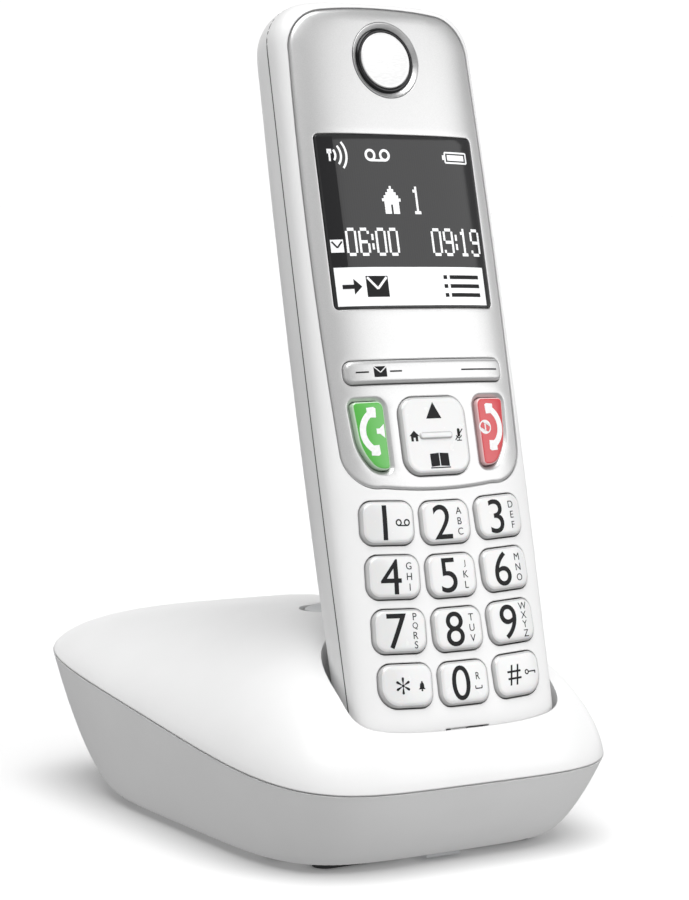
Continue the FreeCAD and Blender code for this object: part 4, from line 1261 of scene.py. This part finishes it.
def build_stage():
    """Pale floor, white surround, soft lights and the camera."""
    stage = bpy.context.scene.phone_stage
    build = bmesh.new()
    bmesh.ops.create_grid(build, x_segments=2, y_segments=2, size=60.0)
    paper = Finish("studio paper")
    paper.colour((0.85, 0.85, 0.85), 0.003, 3.0)
    paper.roughness(0.75, 0.85, 20.0)
    floor = finish_mesh("studio_floor", build, [paper.set(Specular_IOR_Level=0.1)])
    floor.visible_diffuse = False
    floor.visible_glossy = False
    build_surround(stage.sky, stage.ground)
    bpy.context.scene.view_settings.view_transform = "Standard"
    overhead = bpy.data.lights.new("overhead light", "SUN")
    overhead.energy = stage.overhead
    overhead.angle = math.radians(50.0)
    holder = bpy.data.objects.new("overhead light", overhead)
    bpy.context.scene.collection.objects.link(holder)
    holder.matrix_world = aimed((-0.16, -0.34, 1.0), (0.0, 0.0, 0.0))
    soft_light("side light", (0.62, -0.78, 0.42), (0.0, -0.05, 0.09), 0.55, stage.key_power)
    camera = bpy.data.cameras.new("camera")
    camera.lens = stage.lens
    camera.sensor_width = 36.0
    camera.shift_x = 0.0017
    camera.shift_y = 0.0078
    camera.clip_start = 0.01
    holder = bpy.data.objects.new("camera", camera)
    bpy.context.scene.collection.objects.link(holder)
    level = math.cos(stage.pitch)
    forward = Vector((math.sin(stage.yaw) * level, math.cos(stage.yaw) * level, -math.sin(stage.pitch)))
    right = forward.cross(Vector((0, 0, 1))).normalized()
    above = right.cross(forward)
    across = right * math.cos(stage.roll) + above * math.sin(stage.roll)
    upward = above * math.cos(stage.roll) - right * math.sin(stage.roll)
    matrix = Matrix((across, upward, -forward)).transposed().to_4x4()
    matrix.translation = stage.place
    holder.matrix_world = matrix
    bpy.context.scene.camera = holder


# ---------------------------------------------------------------- operators and panel
class PHONE_OT_finishes(bpy.types.Operator):
    """Make every finish and give it to the frame's shells and inner parts"""
    bl_idname = "phone.finishes"
    bl_label = "Finishes"

    def execute(self, context):
        build_finishes()
        return {"FINISHED"}


class PHONE_OT_seam_line(bpy.types.Operator):
    """Lay the dark line between the handset shells"""
    bl_idname = "phone.seam_line"
    bl_label = "Seam Line"

    def execute(self, context):
        build_seam_line()
        return {"FINISHED"}


class PHONE_OT_earpiece(bpy.types.Operator):
    """Turn the earpiece's bevel, ring and disc"""
    bl_idname = "phone.earpiece"
    bl_label = "Earpiece"

    def execute(self, context):
        build_earpiece()
        return {"FINISHED"}


class PHONE_OT_display(bpy.types.Operator):
    """Build the display window and its lit marks"""
    bl_idname = "phone.display"
    bl_label = "Display"

    def execute(self, context):
        build_display()
        return {"FINISHED"}


class PHONE_OT_plate(bpy.types.Operator):
    """Build the silver front plate with its rolled edge and its holes"""
    bl_idname = "phone.plate"
    bl_label = "Front Plate"

    def execute(self, context):
        build_plate()
        return {"FINISHED"}


class PHONE_OT_softkey(bpy.types.Operator):
    """Build the softkey bar and its print"""
    bl_idname = "phone.softkey"
    bl_label = "Softkey Bar"

    def execute(self, context):
        build_softkey()
        return {"FINISHED"}


class PHONE_OT_navigation(bpy.types.Operator):
    """Build the navigation key and its print"""
    bl_idname = "phone.navigation"
    bl_label = "Navigation Key"

    def execute(self, context):
        build_navigation()
        return {"FINISHED"}


class PHONE_OT_call_keys(bpy.types.Operator):
    """Build the talk and end keys"""
    bl_idname = "phone.call_keys"
    bl_label = "Talk and End Keys"

    def execute(self, context):
        build_call_keys()
        return {"FINISHED"}


class PHONE_OT_number_keys(bpy.types.Operator):
    """Build the twelve number keys and their legends"""
    bl_idname = "phone.number_keys"
    bl_label = "Number Keys"

    def execute(self, context):
        build_number_keys()
        return {"FINISHED"}


class PHONE_OT_paging_button(bpy.types.Operator):
    """Build the base's paging button"""
    bl_idname = "phone.paging_button"
    bl_label = "Paging Button"

    def execute(self, context):
        build_paging_button()
        return {"FINISHED"}


class PHONE_OT_stage(bpy.types.Operator):
    """Set up the floor, lights and camera"""
    bl_idname = "phone.stage"
    bl_label = "Stage"

    def execute(self, context):
        build_stage()
        return {"FINISHED"}


OPERATORS = (PHONE_OT_finishes, PHONE_OT_seam_line, PHONE_OT_plate, PHONE_OT_earpiece, PHONE_OT_display,
             PHONE_OT_softkey, PHONE_OT_navigation, PHONE_OT_call_keys, PHONE_OT_number_keys,
             PHONE_OT_paging_button, PHONE_OT_stage)
GROUPS = (("phone_handset", PhoneHandsetSizes), ("phone_keys", PhoneKeySizes),
          ("phone_display", PhoneDisplaySizes), ("phone_plate", PhonePlateSizes),
          ("phone_colours", PhoneColours), ("phone_stage", PhoneStageSizes))


class PHONE_PT_panel(bpy.types.Panel):
    """Lists the phone's pieces in the order they are built"""
    bl_label = "Cordless Phone"
    bl_idname = "PHONE_PT_panel"
    bl_space_type = "VIEW_3D"
    bl_region_type = "UI"
    bl_category = "Phone"

    def draw(self, context):
        for operator in OPERATORS:
            self.layout.operator(operator.bl_idname)
        for name, group in GROUPS:
            part = self.layout.box()
            part.label(text=group.__doc__)
            for key in group.__annotations__:
                part.prop(getattr(context.scene, name), key)


def register():
    for name, group in GROUPS:
        bpy.utils.register_class(group)
        setattr(bpy.types.Scene, name, PointerProperty(type=group))
    for operator in OPERATORS:
        bpy.utils.register_class(operator)
    bpy.utils.register_class(PHONE_PT_panel)


def unregister():
    bpy.utils.unregister_class(PHONE_PT_panel)
    for operator in reversed(OPERATORS):
        bpy.utils.unregister_class(operator)
    for name, group in reversed(GROUPS):
        delattr(bpy.types.Scene, name)
        bpy.utils.unregister_class(group)


def main():
    register()
    bpy.ops.phone.finishes()
    bpy.ops.phone.seam_line()
    bpy.ops.phone.plate()
    bpy.ops.phone.earpiece()
    bpy.ops.phone.display()
    bpy.ops.phone.softkey()
    bpy.ops.phone.navigation()
    bpy.ops.phone.call_keys()
    bpy.ops.phone.number_keys()
    bpy.ops.phone.paging_button()
    bpy.ops.phone.stage()


if __name__ == "__main__":
    main()
